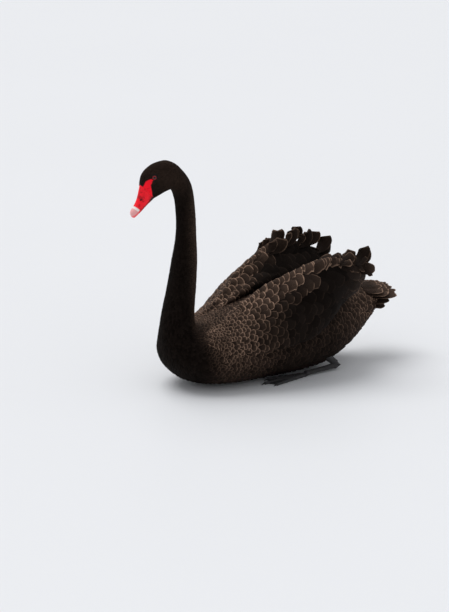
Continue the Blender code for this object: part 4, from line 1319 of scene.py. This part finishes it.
class SWAN_OT_eyes(bpy.types.Operator):
    """Make the eyes and the lids round them"""

    bl_idname = "swan.eyes"
    bl_label = "Eyes"

    def execute(self, context):
        glass = eye_finish(context)
        for side, word in SIDES:
            way = eye_way(side)
            ahead = (BACK_WAY - way * BACK_WAY.dot(way)).normalized()
            turn = Matrix((ahead, way.cross(ahead), way)).transposed()
            polar, around = grid(np.linspace(0.02, math.pi - 0.02, 40), rounds(48) * math.tau)
            local = np.stack(
                (np.sin(polar) * np.cos(around), np.sin(polar) * np.sin(around), np.cos(polar)), axis=-1)
            points = local * EYE_RADIUS @ np.array(turn).T + np.array(eye_middle(side))
            marks = np.stack((polar / (math.pi / 2), polar * 0.0, polar * 0.0), axis=-1)
            piece(grid_mesh(f"eyeball_{word}", points, None, marks), glass, "red_eye", f"eye_{word}")
            ring, section = grid(rounds(64) * math.tau, rounds(12) * math.tau)
            thick = LID_THICK * (1.0 + 0.18 * np.cos(5.0 * ring) * np.sin(2.0 * ring))
            out = LID_RADIUS * (1.0 + 0.10 * np.abs(np.cos(ring)) ** 6) + thick * np.cos(section)
            flat = np.stack((out * np.cos(ring), out * np.sin(ring) * 0.84, thick * np.sin(section)), axis=-1)
            flat[..., 2] += 0.0034 - 0.0012 * np.abs(np.cos(ring)) ** 6
            points = flat @ np.array(turn).T + np.array(eye_middle(side))
            piece(ring_mesh(f"lids_{word}", points), lid_finish(context), "black_plumage")
        return {"FINISHED"}


def ring_mesh(name, points):
    """A closed ring of sections, given as (place round, place in the section, xyz)."""
    around, section, _ = points.shape
    quads = ring_quads(around + 1, section) % (around * section)
    return make_mesh(name, points.reshape(-1, 3), quads.ravel(), np.arange(len(quads)) * 4, {}, None)


def lid_finish(context):
    """Dark skin of the lids."""
    known = bpy.data.materials.get("lids")
    if known:
        return known
    finish = Finish("lids", 0.5, 0.15)
    mottle = finish.scaled(finish.noise(900.0), 0.5, 1.3)
    finish.feed("Base Color", finish.shaded((0.012, 0.006, 0.006), mottle))
    finish.bump(finish.noise(1500.0), 0.0003, 0.5)
    return finish.material


def tube(line, radii, around=14):
    """Rings of points round a line, laid flat where they would pass the floor."""
    line = np.array(line)
    ahead = unit(np.gradient(line, axis=0))
    side_way = unit(np.cross(ahead, (0.0, 0.0, 1.0)))
    up = np.cross(side_way, ahead)
    angle = rounds(around) * math.tau
    ring = side_way[:, None] * np.cos(angle)[None, :, None] + up[:, None] * np.sin(angle)[None, :, None]
    points = line[:, None] + ring * np.array(radii)[:, None, None]
    points[..., 2] = np.maximum(points[..., 2], 0.0)
    return points


class SWAN_OT_legs(bpy.types.Operator):
    """Make the legs and the webbed feet, tucked under the flanks"""

    bl_idname = "swan.legs"
    bl_label = "Legs and feet"

    def execute(self, context):
        skin = leg_finish(context)
        for side, word in SIDES:
            flip = Vector((side, 1.0, 1.0))
            knee, hock, ankle = (p * flip for p in (KNEE, HOCK, ANKLE))
            line = [knee.lerp(hock, k / 8) for k in range(8)] + [hock.lerp(ankle, k / 16) for k in range(17)]
            radii = SHANK_RADIUS * np.interp(np.arange(len(line)), *SHANK_SHAPE)
            piece(grid_mesh(f"shank_{word}", tube(line, radii)), skin, "leg_skin", f"leg_{word}")
            root = ankle + Vector((0.0, -0.0010, -0.0030))
            nodes = [f"foot_{word}"]
            for i, tip in enumerate(TOE_TIPS):
                tip = Vector((tip.x * side, tip.y, TOE_RADIUS * 0.8))
                done = np.linspace(0.0, 1.0, 22)
                knuckle = 1.0 + 0.14 * np.cos(math.tau * done * 3.0) ** 2
                radii = TOE_RADIUS * np.interp(done, (0, 1), (1.15, 0.8)) * knuckle
                toe = tube([root.lerp(tip, d) for d in done], radii)
                piece(grid_mesh(f"toe_{word}_{i + 1}", toe), skin, "leg_skin", *nodes)
                nodes = []
                way = (tip - root).normalized()
                bent = (Vector((0.0, 0.0, CLAW_DROP * d * d)) for d in done)
                line = [tip + way * (CLAW_LENGTH * d - CLAW_SINK) - down for d, down in zip(done, bent)]
                claw = tube(line, TOE_RADIUS * np.interp(done, *CLAW_SHAPE))
                piece(grid_mesh(f"claw_{word}_{i + 1}", claw), skin, "leg_skin")
            for i, (first, second) in enumerate(zip(TOE_TIPS, TOE_TIPS[1:])):
                piece(web_mesh(f"web_{word}_{i + 1}", root, side, first, second), skin, "leg_skin")
        return {"FINISHED"}


def web_mesh(name, root, side, first, second):
    """The web between two toes, its front edge hollow."""
    base = Vector((root.x, root.y, 0.0))
    first, second = (Vector((toe.x * side, toe.y, 0.0)) for toe in (first, second))
    shares = np.linspace(0.0, 1.0, 12)
    rings = []
    for done in np.linspace(0.06, 0.97, 20):
        ring = []
        for height in (0.0, WEB_THICK):
            for share in (shares if height else shares[::-1]):
                hollow = 1.0 - 0.16 * math.sin(math.pi * share) * done ** 3
                place = base.lerp(first.lerp(second, share), done * hollow)
                ring.append((place.x, place.y, WEB_LOW + height))
        rings.append(ring)
    return grid_mesh(name, np.array(rings))


class SWAN_OT_studio(bpy.types.Operator):
    """Set the floor, the soft lights and the camera"""

    bl_idname = "swan.studio"
    bl_label = "Studio"

    def execute(self, context):
        studio = context.scene.swan_studio
        corners = [(x * FLOOR_REACH, y * FLOOR_REACH, 0.0) for x, y in ((-1, -1), (1, -1), (1, 1), (-1, 1))]
        mesh = bpy.data.meshes.new("floor")
        mesh.from_pydata(corners, [], [(0, 1, 2, 3)])
        floor = bpy.data.objects.new("floor", mesh)
        context.scene.collection.objects.link(floor)
        finish = Finish("floor", 0.55, 0.3)
        finish.feed("Base Color", finish.shaded(studio.floor, finish.scaled(finish.noise(1.2), 0.98, 1.0)))
        mesh.materials.append(finish.material)
        world = bpy.data.worlds.new("studio")
        world.use_nodes = True
        sky = world.node_tree.nodes["Background"]
        sky.inputs["Color"].default_value = SKY_COLOUR
        sky.inputs["Strength"].default_value = studio.sky
        context.scene.world = world
        light = bpy.data.lights.new("key", "SUN")
        light.energy = studio.key
        light.angle = KEY_ANGLE
        lamp = bpy.data.objects.new("key", light)
        lamp.rotation_euler = KEY_WAY.to_track_quat("Z", "Y").to_euler()
        context.scene.collection.objects.link(lamp)
        context.scene.view_settings.view_transform = "Standard"
        a, e = studio.azimuth, studio.elevation
        away = Vector((math.sin(a) * math.cos(e), -math.cos(a) * math.cos(e), math.sin(e)))
        camera = bpy.data.cameras.new("camera")
        camera.sensor_width = SENSOR_WIDTH
        camera.lens = camera.sensor_width * studio.distance / studio.view_height
        camera.clip_end = FAR_CLIP
        eye = bpy.data.objects.new("camera", camera)
        eye.location = LOOK_AT + away * studio.distance
        eye.rotation_euler = (-away).to_track_quat("-Z", "Y").to_euler()
        context.scene.collection.objects.link(eye)
        context.scene.camera = eye
        return {"FINISHED"}


STEPS = (
    SWAN_OT_skin,
    SWAN_OT_small_feathers,
    SWAN_OT_wing_coverts,
    SWAN_OT_flight_feathers,
    SWAN_OT_tail_feathers,
    SWAN_OT_bill,
    SWAN_OT_eyes,
    SWAN_OT_legs,
    SWAN_OT_studio,
)
GROUPS = (
    ("swan_plumage", SwanPlumage),
    ("swan_parts", SwanBareParts),
    ("swan_coat", SwanCoat),
    ("swan_wings", SwanWings),
    ("swan_studio", SwanStudio),
)


class SWAN_PT_panel(bpy.types.Panel):
    """The swan's pieces and sizes in the sidebar"""

    bl_idname = "SWAN_PT_panel"
    bl_label = "Black swan"
    bl_space_type = "VIEW_3D"
    bl_region_type = "UI"
    bl_category = "Swan"

    def draw(self, context):
        for step in STEPS:
            self.layout.operator(step.bl_idname)
        for title, group in GROUPS:
            box = self.layout.box()
            box.label(text=group.__doc__)
            for key in group.__annotations__:
                box.prop(getattr(context.scene, title), key)


def register():
    """Add the swan's sizes, operators and panel."""
    for title, group in GROUPS:
        bpy.utils.register_class(group)
        setattr(bpy.types.Scene, title, bpy.props.PointerProperty(type=group))
    for made in (*STEPS, SWAN_PT_panel):
        bpy.utils.register_class(made)


def unregister():
    """Take them away again."""
    for made in (SWAN_PT_panel, *reversed(STEPS)):
        bpy.utils.unregister_class(made)
    for title, group in reversed(GROUPS):
        delattr(bpy.types.Scene, title)
        bpy.utils.unregister_class(group)


def main():
    """Build the swan and its studio."""
    register()
    for step in STEPS:
        group, name = step.bl_idname.split(".")
        getattr(getattr(bpy.ops, group), name)()


if __name__ == "__main__":
    main()
